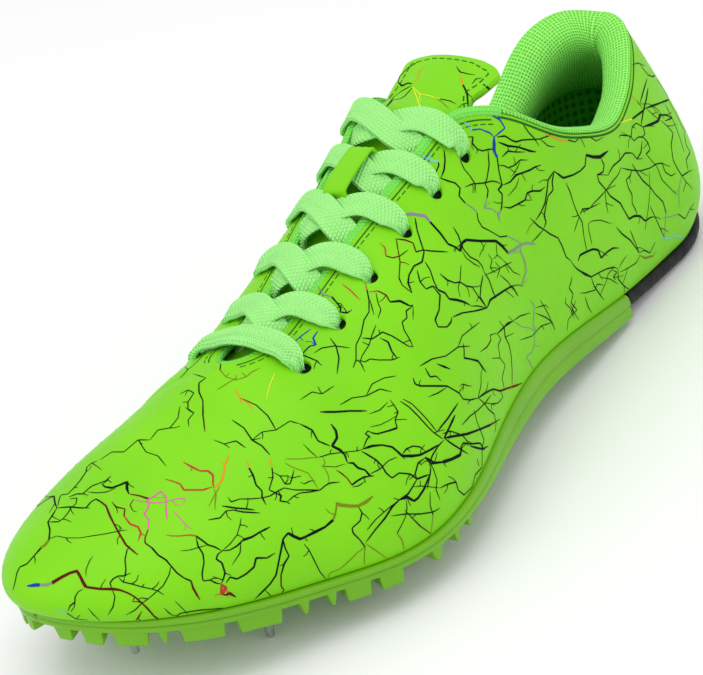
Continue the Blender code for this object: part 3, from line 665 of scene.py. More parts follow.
def leather_look():
    """Coated green synthetic leather: fine pebble, slow colour drift, soft gloss."""
    look = Look("coated_leather", LEATHER, 0.46)
    look.set("Specular IOR Level", 0.16)
    drift = look.spread(look.noise(38.0), 0.0, 1.0)
    look.colour(look.blend(drift, LEATHER, LEATHER_DEEP))
    look.roughness(look.spread(look.noise(420.0), 0.40, 0.54))
    look.bump(look.noise(1500.0, 2.0), 0.00004, 0.35)
    look.bump(look.noise(260.0, 3.0), 0.00012, 0.25)
    return look.material


def woven_look(name, colour, deep):
    """Flat woven lace: fine diagonal ribs along the strip, with painted shade darkening the colour in the
    ribs' troughs.
    """
    look = Look(name, colour, 0.8)
    look.set("Specular IOR Level", 0.15)
    split = look.node("SeparateXYZ")
    look.link(look.place.outputs["UV"], split.inputs["Vector"])
    along = look.math("MULTIPLY", split.outputs["X"], 2 * math.pi / WEAVE_PITCH)
    across = look.math("MULTIPLY", split.outputs["Y"], 2 * math.pi / WEAVE_RIB)
    lean = look.math("ADD", along, look.math("MULTIPLY", across, 0.5))
    rib = look.math("SINE", across)
    twill = look.math("SINE", lean)
    cloth = look.math("ADD", look.math("MULTIPLY", rib, 0.5), look.math("MULTIPLY", twill, 0.6))
    fac = look.spread(look.math("MULTIPLY_ADD", cloth, 0.25), 0.0, 1.0)
    fac.node.inputs["From Min"].default_value = -0.28
    fac.node.inputs["From Max"].default_value = 0.28
    # Painted shade: the colour darkens where the ribs' bump is low, as shade in the weave's troughs
    look.colour(look.blend(fac, deep, colour))
    look.bump(cloth, 0.00022, 1.0)
    look.bump(look.noise(2500.0, 2.0), 0.00006, 0.5)
    return look.material


def knit_look(name, colour, deep, pitch):
    """Open knitted mesh: rows of small holes, with painted shade darkening the colour in their hollows."""
    look = Look(name, colour, 0.85)
    look.set("Specular IOR Level", 0.12)
    scaled = look.node("Mapping")
    scaled.inputs["Scale"].default_value = (1 / pitch, 1 / (0.8 * pitch), 1.0)
    look.link(look.place.outputs["UV"], scaled.inputs["Vector"])
    cells = look.node("TexVoronoi", Scale=1.0, Randomness=0.12)
    look.link(scaled.outputs["Vector"], cells.inputs["Vector"])
    edge = look.node("MapRange")
    edge.inputs["From Min"].default_value = 0.16
    edge.inputs["From Max"].default_value = 0.42
    look.link(cells.outputs["Distance"], edge.inputs["Value"])
    # Painted shade: the colour darkens in the hollows of the holes, where the bump is low
    look.colour(look.blend(edge.outputs["Result"], deep, colour))
    look.bump(edge.outputs["Result"], 0.00035, 0.8)
    look.bump(look.noise(1800.0, 2.0), 0.00006, 0.4)
    return look.material


def plate_look():
    """Moulded semi-gloss plastic."""
    look = Look("moulded_plate", PLATE_GREEN, 0.38)
    look.set("Specular IOR Level", 0.3)
    look.roughness(look.spread(look.noise(160.0), 0.32, 0.46))
    drift = look.spread(look.noise(30.0), 0.0, 1.0)
    look.colour(look.blend(drift, PLATE_GREEN, PLATE_DEEP))
    studs = look.node("TexVoronoi", Scale=260.0, Randomness=0.0)
    look.link(look.place.outputs["Object"], studs.inputs["Vector"])
    dots = look.node("MapRange")
    dots.inputs["From Min"].default_value = 0.20
    dots.inputs["From Max"].default_value = 0.34
    look.link(studs.outputs["Distance"], dots.inputs["Value"])
    facing = look.node("SeparateXYZ")
    look.link(look.place.outputs["Normal"], facing.inputs["Vector"])
    below = look.math("LESS_THAN", facing.outputs["Z"], -0.8)
    look.bump(look.math("MULTIPLY", dots.outputs["Result"], below), 0.0005, 0.8)
    look.bump(look.noise(700.0, 2.0), 0.00004, 0.3)
    return look.material


def rubber_look():
    """Black heel rubber with a fine grain."""
    look = Look("heel_rubber", (0.006, 0.006, 0.007), 0.55)
    look.set("Specular IOR Level", 0.2)
    look.roughness(look.spread(look.noise(300.0), 0.45, 0.68))
    look.bump(look.noise(900.0, 3.0), 0.00010, 0.5)
    return look.material


def steel_look():
    """Turned steel with fine rings."""
    look = Look("turned_steel", (0.56, 0.56, 0.54), 0.26, metallic=1.0)
    split = look.node("SeparateXYZ")
    look.link(look.place.outputs["Object"], split.inputs["Vector"])
    rings = look.math("SINE", look.math("MULTIPLY", split.outputs["Z"], TURNING_WAVE))
    look.roughness(look.spread(look.noise(900.0), 0.20, 0.36))
    look.bump(rings, 0.00003, 0.5)
    return look.material


def plain_look(name, colour, roughness):
    """Ink, thread or the painted shade of the eyelet holes, with a fine grain."""
    look = Look(name, colour, roughness)
    look.set("Specular IOR Level", 0.04)
    look.bump(look.noise(900.0, 2.0), 0.00004, 0.3)
    return look.material


# Colours of the cloths, the leather and the plate, each with its darker partner. The leather's and
# the plate's partners are random tone drift; the cloths' partners are painted shade in their hollows
LEATHER = (0.195, 0.610, 0.006)
LEATHER_DEEP = (0.172, 0.560, 0.005)
# Lace colour; its darker partner is painted shade in the weave's troughs, as is the binding's
MINT = (0.350, 0.860, 0.240)
MINT_PAINTED_SHADE = (0.080, 0.430, 0.050)
# Lining colour, then the inside's; each darker partner is painted shade in the knit's hollows
LINING = (0.290, 0.830, 0.140)
LINING_PAINTED_SHADE = (0.090, 0.500, 0.035)
INSIDE = (0.060, 0.420, 0.020)
INSIDE_PAINTED_SHADE = (0.015, 0.180, 0.006)
BINDING = (0.200, 0.760, 0.100)
BINDING_PAINTED_SHADE = (0.080, 0.460, 0.030)
PLATE_GREEN = (0.150, 0.420, 0.006)
PLATE_DEEP = (0.128, 0.370, 0.005)
# Painted shade: near-black colour of the discs inside the eyelet holes, standing in for the shade in them
HOLE_PAINTED_SHADE = (0.006, 0.016, 0.008)

# Pitches of weave and knit in metres, and the rings on the pins in radians a metre
WEAVE_PITCH = 0.0011
WEAVE_RIB = 0.0010
LINING_PITCH = 0.0012
INSIDE_PITCH = 0.0018
TURNING_WAVE = 16000.0

leather = leather_look()
# The woven cloths get painted shade in the troughs of their ribs
lace_cloth = woven_look("woven_lace", MINT, MINT_PAINTED_SHADE)
binding_cloth = woven_look("woven_binding", BINDING, BINDING_PAINTED_SHADE)
# The knits get painted shade in the hollows of their holes
knit = knit_look("knitted_lining", LINING, LINING_PAINTED_SHADE, LINING_PITCH)
inside_knit = knit_look("inside_knit", INSIDE, INSIDE_PAINTED_SHADE, INSIDE_PITCH)
plastic = plate_look()
rubber = rubber_look()
steel = steel_look()
# Painted shade for the eyelet holes
painted_hole_shade = plain_look("eyelet_hole_painted_shade", HOLE_PAINTED_SHADE, 0.8)


# Fine skin of the upper

FINE_RIBS = 300
FINE_RISES = 60
INNER_RISES = 14
SPINE_START = THROAT_END - 1e-9
INSIDE_KNIT_ROW = 0.002


def upper_columns():
    """Station and side of every column around the shoe, one of them right at the throat's end."""
    stations = 0.5 * (1 - np.cos(np.pi * np.linspace(0, 1, FINE_RIBS + 1)))
    stations[int(np.argmin(np.abs(stations - THROAT_END)))] = THROAT_END
    return [(s, 1) for s in stations] + [(s, -1) for s in stations[-2:0:-1]]


def build_fine_upper():
    """Hollow upper as one closed fine mesh; its eyelet holes are cut at the end of the script."""
    columns = upper_columns()
    count = len(columns)
    last = count // 2
    sides = np.array([side for _, side in columns])
    stations = np.array([s for s, _ in columns])
    outer_rises = np.linspace(0, 1, FINE_RISES + 1)
    inner_rises = np.linspace(1, 0, INNER_RISES + 1)
    grid = np.zeros((FINE_RISES + 1 + INNER_RISES + 1, count, 3))
    for side in (1, -1):
        chosen = np.where(sides == side)[0]
        s = stations[chosen][None, :]
        grid[:FINE_RISES + 1, chosen] = skin(s, outer_rises[:, None], side)
        inside = under(np.broadcast_to(s, (INNER_RISES + 1, len(chosen))), inner_rises[:, None], side,
                       np.full((INNER_RISES + 1, len(chosen)), UPPER_WALL))
        inside[-1, :, 2] = grid[0, chosen, 2]
        grid[FINE_RISES + 1:, chosen] = inside
    rows = len(grid)

    def index(j, i):
        i = i % count
        if j in (FINE_RISES, FINE_RISES + 1) and i > last and columns[i][0] >= SPINE_START:
            i = count - i
        return j * count + i

    faces = []
    looks = []
    for i in range(count):
        spine = min(columns[i][0], columns[(i + 1) % count][0]) >= SPINE_START
        for j in range(rows - 1):
            if j == FINE_RISES and spine:
                continue
            quad = (index(j, i), index(j, i + 1), index(j + 1, i + 1), index(j + 1, i))
            faces.append(tuple(dict.fromkeys(quad)))
            looks.append(0 if j <= FINE_RISES else 1)
        low = (index(rows - 1, i), index(rows - 1, i + 1), index(0, i + 1), index(0, i))
        faces.append(low)
        looks.append(0)
    used = sorted({v for face in faces for v in face})
    renumber = {v: k for k, v in enumerate(used)}
    faces = [tuple(renumber[v] for v in face) for face in faces]
    points = grid.reshape(-1, 3)[used]
    uv = [(float(columns[v % count][0]) * LENGTH, float(v // count) * INSIDE_KNIT_ROW) for v in used]
    return make_solid("upper_skin", points, faces, [leather, inside_knit], "upper", looks, uv, 50)


def eyelet_rounds(name, low, high, radius):
    """Short cylinder at each eyelet, between two heights over the skin, in the near-black painted shade of
    the holes.
    """
    points = []
    faces = []
    for row in range(len(EYELETS)):
        for side in (1, -1):
            middle, normal = eyelet(row, side)
            first = unit(np.cross(normal, (1, 0, 0)))
            second = np.cross(normal, first)
            start = len(points)
            for level in (low, high):
                for k in range(EYELET_CORNERS):
                    angle = 2 * math.pi * k / EYELET_CORNERS
                    arm = first * math.cos(angle) + second * math.sin(angle)
                    points.append(middle + normal * level + arm * radius)
            faces += ring_faces(2, EYELET_CORNERS, start=start)
    return make_solid(name, points, faces, [painted_hole_shade], "upper", smooth_angle=0)


EYELET_CORNERS = 20
EYELET_CUT_REACH = 1.6 * UPPER_WALL
# Depth and radius of the thin discs of painted shade inside the wall at each eyelet, seen through the cut
# holes
SHADE_LOW = -0.0012
SHADE_HIGH = -0.0011
SHADE_RADIUS = EYELET_RADIUS + 0.0002

# Painted shade: dark discs in the eyelet holes, where there is only shade
eyelet_rounds("eyelet_shades", SHADE_LOW, SHADE_HIGH, SHADE_RADIUS)
upper = build_fine_upper()
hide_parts("upper")


# Collar lining, with its roll over the edge

def pad_section(place):
    """Ring of points around the collar pad at a signed root of the station, outer side positive."""
    s = place ** 2
    side = 1 if place >= 0 else -1
    thick = COLLAR_PAD_THICKNESS * float(smooth(COLLAR_PAD, 1, s))
    depth = COLLAR_PAD_DEPTH * float(smooth(COLLAR_PAD, 2, s))
    low = rise_below_rim(s, depth, side)
    edge = skin(s, 1.0, side)
    normal = skin_normal(s, 1.0, side)
    up = unit(edge - skin(s, 0.96, side))
    row = []
    for share in (0.0, 0.5, 0.97):
        row.append(under(s, low + (1 - low) * share, side, UPPER_WALL + GAP))
    row.append(edge - normal * (UPPER_WALL + GAP) + up * GAP)
    row.append(edge - normal * 0.25 * UPPER_WALL + up * GAP)
    row.append(edge + normal * GAP + up * 0.45 * COLLAR_ROLL)
    row.append(edge - normal * 0.30 * UPPER_WALL + up * 0.85 * COLLAR_ROLL)
    row.append(edge - normal * (UPPER_WALL + 0.35 * thick) + up * COLLAR_ROLL)
    row.append(edge - normal * (UPPER_WALL + 0.80 * thick) + up * 0.45 * COLLAR_ROLL)
    for share, swell in ((0.93, 1.0), (0.70, 1.0), (0.40, 0.75), (0.15, 0.40)):
        row.append(under(s, low + (1 - low) * share, side, UPPER_WALL + GAP + thick * swell))
    return np.array(row)


PAD_SECTIONS = 61
PAD_COLUMNS = 44
PAD_ROWS = 180
PAD_CREST = 20


def build_fine_pad():
    """Padded knitted lining along the whole collar."""
    reach = math.sqrt(COLLAR_PAD_END)
    places = np.linspace(reach, -reach, PAD_SECTIONS)
    rows = spline([closed_spline(pad_section(place), PAD_COLUMNS) for place in places], PAD_ROWS)
    run = run_along(rows[:, PAD_CREST])
    around = run_along(rows[PAD_ROWS // 2])
    uv = [(along, turn) for along in run for turn in around]
    faces = ring_faces(PAD_ROWS, PAD_COLUMNS)
    return make_solid("collar_lining", rows.reshape(-1, 3), faces, [knit], "lining", uv=uv)


pad = build_fine_pad()
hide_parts("collar_pad")


# Binding bead of the throat

def build_fine_binding():
    """Rounded bead along the throat's edge, from one end of the collar lining to the other."""
    start = COLLAR_PAD_END + 0.004
    down = [(s, 1) for s in np.linspace(start, THROAT_END - THROAT_ROUND, 70)]
    turn = [(THROAT_END - THROAT_ROUND * (1 - math.sin(a)), 1) for a in np.linspace(0.06, math.pi / 2, 26)]
    half = down + turn
    path = half + [(s, -1) for s, _ in half[-2::-1]]
    edge = np.array([skin(s, 1.0, side) for s, side in path])
    normal = np.array([skin_normal(s, 0.995, side) for s, side in path])
    run = np.gradient(edge, axis=0)
    away = unit(np.cross(run, normal))
    points = []
    uv = []
    corners = 18
    for (s, _), point, up, out, place in zip(path, edge, normal, away, run_along(edge)):
        slim = float(np.interp(s, (0.40, 0.60, 0.76), (1.0, 0.95, 0.6)))
        middle = point - up * 0.42 * UPPER_WALL + out * 0.35 * PIPING_RADIUS
        for k in range(corners):
            angle = 2 * math.pi * k / corners
            arm = out * (math.cos(angle) * 1.15) + up * (math.sin(angle) * 1.0)
            points.append(middle + arm * PIPING_RADIUS * slim)
            uv.append((place, k * 0.0005))
    faces = ring_faces(len(path), corners)
    return make_solid("throat_piping", points, faces, [binding_cloth], "lining", uv=uv)


piping = build_fine_binding()
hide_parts("throat_binding")


# Tongue

def tongue_grid():
    """Top surface of the tongue, row by row from its foot to its top edge."""
    rows = []
    shares = np.linspace(-1, 1, 13)
    for s in np.linspace(TONGUE_START, TONGUE_COVERED, 12):
        underlap = TONGUE_UNDERLAP * min(1, 0.1 + (s - TONGUE_COVERED) / TONGUE_TAPER)
        outer_rise = rise_below_rim(s, underlap, 1)
        inner_rise = rise_below_rim(s, underlap, -1)
        outer_edge = under(s, 1.0, 1, TONGUE_DEPTH)
        inner_edge = under(s, 1.0, -1, TONGUE_DEPTH)
        outer_side = [under(s, outer_rise + (1 - outer_rise) * k, 1, TONGUE_DEPTH) for k in (0, 0.5)]
        inner_side = [under(s, inner_rise + (1 - inner_rise) * k, -1, TONGUE_DEPTH) for k in (0, 0.5)]
        width = np.linalg.norm(outer_edge - inner_edge)
        outer_slope = unit(outer_edge - outer_side[1]) * width * TONGUE_FULLNESS
        inner_slope = unit(inner_side[1] - inner_edge) * width * TONGUE_FULLNESS
        middle = []
        for u in np.linspace(0, 1, 9):
            outer_share = 2 * u ** 3 - 3 * u ** 2 + 1
            inner_share = -2 * u ** 3 + 3 * u ** 2
            outer_pull = u ** 3 - 2 * u ** 2 + u
            inner_pull = u ** 3 - u ** 2
            middle.append(outer_edge * outer_share + outer_slope * outer_pull
                          + inner_edge * inner_share + inner_slope * inner_pull)
        rows.append(outer_side + middle + inner_side[::-1])
    crown = np.array(rows[-1][len(rows[-1]) // 2])
    for reach, shift, half, lift, drop in TONGUE_TOP:
        row = []
        for share in -shares:
            row.append(crown + np.array((-reach, shift + share * half, lift - drop * share ** 2)))
        rows.append(row)
    return np.array(rows)


TONGUE_ROWS = 96
TONGUE_COLUMNS = 41
TONGUE_EDGE_SWELL = 0.0006


def tongue_edge(last, before, up, depths):
    """Rounded side of the tongue between its top and its underside."""
    away = unit(last - before) * TONGUE_EDGE_SWELL
    return [last - up * TONGUE_THICKNESS * k + away * math.sin(math.pi * k) for k in depths]


def build_fine_tongue():
    """Soft leather tongue with a rounded edge, and its top surface with that surface's normals."""
    rows = spline(tongue_grid(), TONGUE_ROWS)
    top = spline(rows.transpose(1, 0, 2), TONGUE_COLUMNS).transpose(1, 0, 2)
    normal = unit(np.cross(np.gradient(top, axis=1), np.gradient(top, axis=0)))
    if normal[0, TONGUE_COLUMNS // 2, 2] < 0:
        normal = -normal
    points = []
    depths = np.linspace(0.25, 0.75, 3)
    for row, up in zip(top, normal):
        ring = list(row)
        ring += tongue_edge(row[-1], row[-2], up[-1], depths)
        ring += list((row - up * TONGUE_THICKNESS)[::-1])
        ring += tongue_edge(row[0], row[1], up[0], depths[::-1])
        points.append(ring)
    faces = ring_faces(TONGUE_ROWS, len(points[0]))
    points = np.array(points).reshape(-1, 3)
    made = make_solid("tongue_skin", points, faces, [leather], "upper", smooth_angle=60)
    return made, top, normal


tongue, tongue_top, tongue_up = build_fine_tongue()
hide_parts("tongue")


# Laces

def surface_point(s, share, height):
    """Point over the throat: share 1 on the outer rim, -1 on the inner rim, beyond them down the wall."""
    side = 1 if share >= 0 else -1
    if abs(share) > 1:
        distance = (abs(share) - 1) * float(opening_half(s))
        rise = rise_below_rim(s, distance, side)
        return skin(s, rise, side) + skin_normal(s, rise, side) * height
    outer_edge = skin(s, 1.0, 1)
    inner_edge = skin(s, 1.0, -1)
    lift = unit(skin_normal(s, 1.0, 1) + skin_normal(s, 1.0, -1))
    crown = 0.10 * np.linalg.norm(outer_edge - inner_edge) * (1 - share ** 2)
    flat = outer_edge * (1 + share) / 2 + inner_edge * (1 - share) / 2
    return flat + lift * (height + crown)


def eyelet_share(row, side):
    """Share at which surface_point meets an eyelet."""
    s, inset = EYELETS[row]
    return side * (1 + inset / float(opening_half(s)))


LACE_STEPS = 64
LACE_RIBS = 13


def lace_piece(name, places):
    """Woven strip through surface places (station, share, height, width share, thickness share)."""
    path = np.array([surface_point(s, share, height) for s, share, height, _, _ in places])
    above = np.array([surface_point(s, share, height + 0.002) for s, share, height, _, _ in places]) - path
    knots = run_along(path)
    run = np.linspace(0, knots[-1], LACE_STEPS)
    centre = np.stack([smooth(list(zip(knots, path[:, c])), 1, run) for c in range(3)], 1)
    up = np.stack([np.interp(run, knots, above[:, c]) for c in range(3)], 1)
    width = np.interp(run, knots, [p[3] for p in places]) * LACE_WIDTH
    thick = np.interp(run, knots, [p[4] for p in places]) * LACE_THICKNESS
    return swept(centre, up, width, thick, LACE_RIBS, name, lace_cloth, "lace")


def build_fine_laces():
    """Bottom bar and ten crossing strips that run through the eyelets."""
    first = EYELETS[0][0]
    end = eyelet_share(0, 1)
    bar = lace_piece("lace_strip_bar", [
        # station, share, height, width share, thickness share
        (first + 0.004, end - 0.05, -0.0030, 0.34, 1.2),
        (first + 0.004, end - 0.10, 0.0002, 0.40, 1.4),
        (first + 0.003, end - 0.38, 0.0016, 0.74, 1.1),
        (first + 0.003, 1.25, 0.0017, 1.0, 1.0),
        (first + 0.006, 0.5, 0.0020, 1.0, 1.0),
        (first + 0.006, -0.5, 0.0020, 1.0, 1.0),
        (first + 0.003, -1.25, 0.0017, 1.0, 1.0),
        (first + 0.003, -end + 0.38, 0.0016, 0.74, 1.1),
        (first + 0.004, -end + 0.10, 0.0002, 0.40, 1.4),
        (first + 0.004, -end + 0.05, -0.0030, 0.34, 1.2),
    ])
    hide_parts("lace_bar")
    for row in range(len(EYELETS) - 1):
        low = EYELETS[row][0]
        high = EYELETS[row + 1][0]
        for side, side_name, middle_height in ((-1, "inner", 0.0022), (1, "outer", 0.0006)):
            far = eyelet_share(row + 1, side)
            near = eyelet_share(row, -side)
            lace_piece("lace_strip_%d_%s" % (row + 1, side_name), [
                # station, share, height, width share, thickness share
                (low, near * 0.98, -0.0034, 0.45, 0.9),
                (0.90 * low + 0.10 * high, -side * 1.14, -0.0036, 0.85, 0.8),
                (0.80 * low + 0.20 * high, -side * 0.84, -0.0020, 0.95, 0.8),
                (0.68 * low + 0.32 * high, -side * 0.50, 0.0004, 1.0, 0.8),
                (0.50 * low + 0.50 * high, side * 0.0, middle_height, 1.0, 0.8),
                (0.25 * low + 0.75 * high, side * 0.90, 0.0023, 1.0, 0.8),
                (0.10 * low + 0.90 * high, side * (1 + 0.45 * (abs(far) - 1)), 0.0012, 1.0, 0.8),
                (high + 0.003, far - side * 0.30, 0.0010, 0.80, 0.9),
                (high + 0.002, far - side * 0.10, 0.0002, 0.44, 1.1),
                (high + 0.001, far - side * 0.05, -0.0030, 0.34, 1.0),
            ])
        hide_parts("lace_cross_%d" % (row + 1))


build_fine_laces()


# Keeper on the tongue

KEEPER_SHIFT = 0.010
KEEPER_RISE = 0.78 * KEEPER_HEIGHT
KEEPER_BAND_WIDTH = 1.25 * KEEPER_WIDTH
KEEPER_STEPS = 40
KEEPER_RIBS = 7


def build_fine_keeper():
    """Leather band on the tongue that holds the laces down beside the fourth row of eyelets."""
    s = 0.5 * (EYELETS[3][0] + EYELETS[4][0]) + KEEPER_SHIFT
    base = [surface_point(s + shift, 0.0, 0.0) for shift in (KEEPER_REACH, -KEEPER_REACH)]
    lift = unit(surface_point(s, 0.0, 0.001) - surface_point(s, 0.0, 0.0))
    along = unit(base[1] - base[0])
    middle = 0.5 * (base[0] + base[1])
    length = np.linalg.norm(base[1] - base[0])
    arch = [(0.5 * length * share, KEEPER_FOOT + KEEPER_RISE * rise) for share, rise in KEEPER_ARCH]
    profile = spline(arch, KEEPER_STEPS)
    path = middle + along * profile[:, :1] + lift * profile[:, 1:]
    run = np.gradient(profile, axis=0)
    above = lift * run[:, :1] - along * run[:, 1:]
    width = np.full(KEEPER_STEPS, KEEPER_BAND_WIDTH)
    thick = np.full(KEEPER_STEPS, KEEPER_THICKNESS)
    made = swept(path, above, width, thick, KEEPER_RIBS, "keeper_band", leather, "upper")
    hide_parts("tongue_keeper")


build_fine_keeper()


# Sole

def offset_line(s, side, out, drop):
    """Point beside the feather line, moved outward and down."""
    return feather(s, side) + outward(s, side) * out - np.array((0, 0, drop))


def plate_ring(s, side):
    """Side profile of the plate at a station, top edge first."""
    shift = plate_shift(s)
    flare = float(smooth(SHANK, 2, s)) * BALL_WIDTH
    ridge = float(smooth(SHANK, 3, s))
    points = []
    for out, down in PLATE_SIDE:
        reach = out * PLATE_FLANGE + shift + flare * down
        extra = ridge * PLATE_THICKNESS * down
        points.append(offset_line(s, side, reach, GAP + down * PLATE_THICKNESS + extra))
    return spline(points, PLATE_SIDE_POINTS)


PLATE_STEPS = 150
PLATE_SIDE_POINTS = 19
PLATE_TOE = 0.99995


def build_fine_plate():
    """Plate with its side band and ridges."""
    places = PLATE_REAR + (1 - PLATE_REAR) * np.sin(0.5 * np.pi * np.linspace(0, 1, PLATE_STEPS))
    places[-1] = PLATE_TOE
    rows = []
    for s in places:
        outer_side = plate_ring(s, 1)
        inner_side = plate_ring(s, -1)
        rows.append(np.concatenate([outer_side, inner_side[::-1]]))
    faces = ring_faces(len(rows), len(rows[0]))
    return make_solid("plate_body", np.array(rows).reshape(-1, 3), faces, [plastic], "plate")


BLOCK_STEPS = 4
BLOCK_BEVEL = 0.00045


def bevelled(name, points, faces, look, slot_name, width):
    """Piece of separate bodies with rounded edges."""
    made = make_mesh(name, points, faces, [look], slot_name, smooth_angle=0)
    shape = bmesh.new()
    shape.from_mesh(made.data)
    bmesh.ops.recalc_face_normals(shape, faces=shape.faces)
    bmesh.ops.dissolve_limit(shape, angle_limit=math.radians(3), verts=shape.verts, edges=shape.edges)
    bmesh.ops.bevel(shape, geom=list(shape.edges), offset=width, segments=3, affect="EDGES", profile=0.6)
    shape.to_mesh(made.data)
    shape.free()
    made.data.shade_smooth()
    made.data.set_sharp_from_angle(angle=math.radians(50))


def build_fine_blocks():
    """Blocks and teeth around the forefoot."""
    points = []
    faces = []
    for side in (1, -1):
        for start, end, depth, tip in BLOCKS:
            centre = 0.5 * (start + end)
            base = len(points)
            for s in np.linspace(start, end, BLOCK_STEPS + 1):
                low = centre + (s - centre) * tip
                sink = GAP + 0.55 * PLATE_THICKNESS
                deep = GAP + PLATE_THICKNESS + LUG_DEPTH * depth
                face = 0.70 * PLATE_FLANGE + plate_shift(s)
                tip_face = 0.55 * PLATE_FLANGE + plate_shift(low)
                points.append(offset_line(s, side, face, sink))
                points.append(offset_line(s, side, face - LUG_WIDTH, sink))
                points.append(offset_line(low, side, tip_face - 0.80 * LUG_WIDTH, deep))
                points.append(offset_line(low, side, tip_face, deep))
            faces += ring_faces(BLOCK_STEPS + 1, 4, start=base)
    bevelled("plate_blocks", points, faces, plastic, "plate", BLOCK_BEVEL)


def pin_place(s, share):
    """Level place of a pin and the height of the plate's underside there."""
    side = 1 if share > 0 else -1
    edge = feather(s, side)
    centre_y = smooth(FOOTPRINT, 3, s) * BALL_WIDTH
    y = centre_y + (edge[1] - centre_y) * abs(share)
    return edge[0], y, edge[2] - GAP - PLATE_THICKNESS


def turned(name, profiles, look, slot_name, corners=32):
    """Solids of revolution about upright axes, as one piece: each is (x, y, ((radius, z), ...))."""
    points = []
    faces = []
    for x, y, profile in profiles:
        start = len(points)
        for radius, z in profile:
            for k in range(corners):
                angle = 2 * math.pi * k / corners
                points.append((x + radius * math.cos(angle), y + radius * math.sin(angle), z))
        faces += ring_faces(len(profile), corners, start=start)
    return make_solid(name, points, faces, [look], slot_name, smooth_angle=35)


def build_bosses_and_pins():
    """Round bosses under the plate and the metal pins in them."""
    bosses = []
    for number, (s, share) in enumerate(PINS, 1):
        x, y, z = pin_place(s, share)
        bosses.append((x, y, (
            (PIN_BOSS_RADIUS, z + 0.5 * PLATE_THICKNESS),
            (PIN_BOSS_RADIUS, z - 0.45 * PIN_BOSS_HEIGHT),
            (0.96 * PIN_BOSS_RADIUS, z - 0.72 * PIN_BOSS_HEIGHT),
            (0.80 * PIN_BOSS_RADIUS, z - PIN_BOSS_HEIGHT),
        )))
        top = z - PIN_BOSS_HEIGHT - GAP
        tip = max(z - PIN_LENGTH, 0.0)
        shoulder = top - PIN_SHOULDER_HEIGHT
        pin = turned("pin_metal_%d" % number, [(x, y, (
            (PIN_SHOULDER_RADIUS, top + GAP),
            (PIN_SHOULDER_RADIUS, shoulder + 0.0003),
            (0.92 * PIN_SHOULDER_RADIUS, shoulder),
            (1.06 * PIN_RADIUS, shoulder - 0.0003),
            (PIN_RADIUS, shoulder - 0.0006),
            (PIN_RADIUS, shoulder - 0.0015),
            (0.94 * PIN_RADIUS, shoulder - 0.0018),
            (1.3 * PIN_TIP_RADIUS, tip + 0.0007),
            (0.95 * PIN_TIP_RADIUS, tip + 0.0002),
            (0.45 * PIN_TIP_RADIUS, tip),
        ))], steel, "pins")
        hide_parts("pin_%d" % number)
    turned("plate_bosses", bosses, plastic, "plate")


plate = build_fine_plate()
build_fine_blocks()
build_bosses_and_pins()
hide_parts("outsole_plate")


HEEL_STEPS = 90
HEEL_SIDE_POINTS = 13
HEEL_END = PLATE_REAR - 0.004


def build_fine_heel():
    """Black heel piece, flat where it meets the floor."""
    places = PLATE_REAR * (1 - np.cos(0.5 * np.pi * np.linspace(0.02, 1, HEEL_STEPS)))
    places = places * HEEL_END / places[-1]
    rows = []
    for s in places:
        ring = []
        for side in (1, -1):
            pull = float(smooth(HEEL_PULL, 1, s)) * BALL_WIDTH
            profile = [offset_line(s, side, out - pull, GAP + down * HEEL_PIECE_THICKNESS)
                       for out, down in HEEL_SIDE]
            profile = spline(profile, HEEL_SIDE_POINTS)
            ring += list(profile) if side > 0 else list(profile[::-1])
        rows.append(ring)
    rows = np.array(rows)
    rows[..., 2] = np.maximum(rows[..., 2], 0.0)
    faces = ring_faces(len(rows), rows.shape[1])
    return make_solid("heel_rubber_piece", rows.reshape(-1, 3), faces, [rubber], "heel")


heel = build_fine_heel()
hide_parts("heel_outsole")


INSOLE_STEPS = 120


def build_fine_insole():
    """Footbed inside the upper, with a bevelled edge."""
    places = 0.5 * (1 - np.cos(np.pi * np.linspace(0.035, 0.965, INSOLE_STEPS)))
    inset = UPPER_WALL + 2 * GAP
    rows = []
    for s in places:
        ring = []
        for side in (1, -1):
            profile = [offset_line(s, side, -inset, -GAP),
                       offset_line(s, side, -inset, -0.7 * INSOLE_THICKNESS),
                       offset_line(s, side, -inset - 0.0006, -GAP - INSOLE_THICKNESS)]
            ring += profile if side > 0 else profile[::-1]
        rows.append(ring)
    rows = np.array(rows)
    points = rows.reshape(-1, 3)
    uv = [(float(point[0]), float(point[1])) for point in points]
    faces = ring_faces(len(rows), rows.shape[1])
    return make_solid("footbed", points, faces, [inside_knit], "footbed", uv=uv)


footbed = build_fine_insole()
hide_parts("insole")


# Camera of the photo: its place, its right and down, and its focal length in the photo's pixels

EYE = (0.5546, 0.3970, 0.3486)
RIGHT = (-0.5925, 0.7845, -0.1830)
DOWN = (0.4798, 0.1611, -0.8625)
FOCAL_PIXELS = 2463.26
IMAGE_WIDTH = 703
IMAGE_HEIGHT = 675
SENSOR = 36.0


# Ribbons of ink and thread

INKS = {
    # letter: (name, colour)
    "K": ("ink_black", (0.003, 0.010, 0.008)),
    "D": ("ink_dark_red", (0.090, 0.008, 0.006)),
    "R": ("ink_red", (0.420, 0.040, 0.030)),
    "P": ("ink_pink", (0.600, 0.120, 0.300)),
    "O": ("ink_orange", (0.750, 0.220, 0.020)),
    "Y": ("ink_yellow", (0.720, 0.700, 0.030)),
    "W": ("ink_olive", (0.170, 0.200, 0.012)),
    "G": ("ink_grey", (0.200, 0.260, 0.200)),
    "V": ("ink_mauve", (0.240, 0.190, 0.290)),
    "L": ("ink_light_blue", (0.180, 0.500, 0.720)),
    "B": ("ink_blue", (0.012, 0.045, 0.330)),
    "T": ("seam_thread", (0.020, 0.120, 0.016)),
}
INK_LIFT = 0.00007
INK_SINK = 0.00012


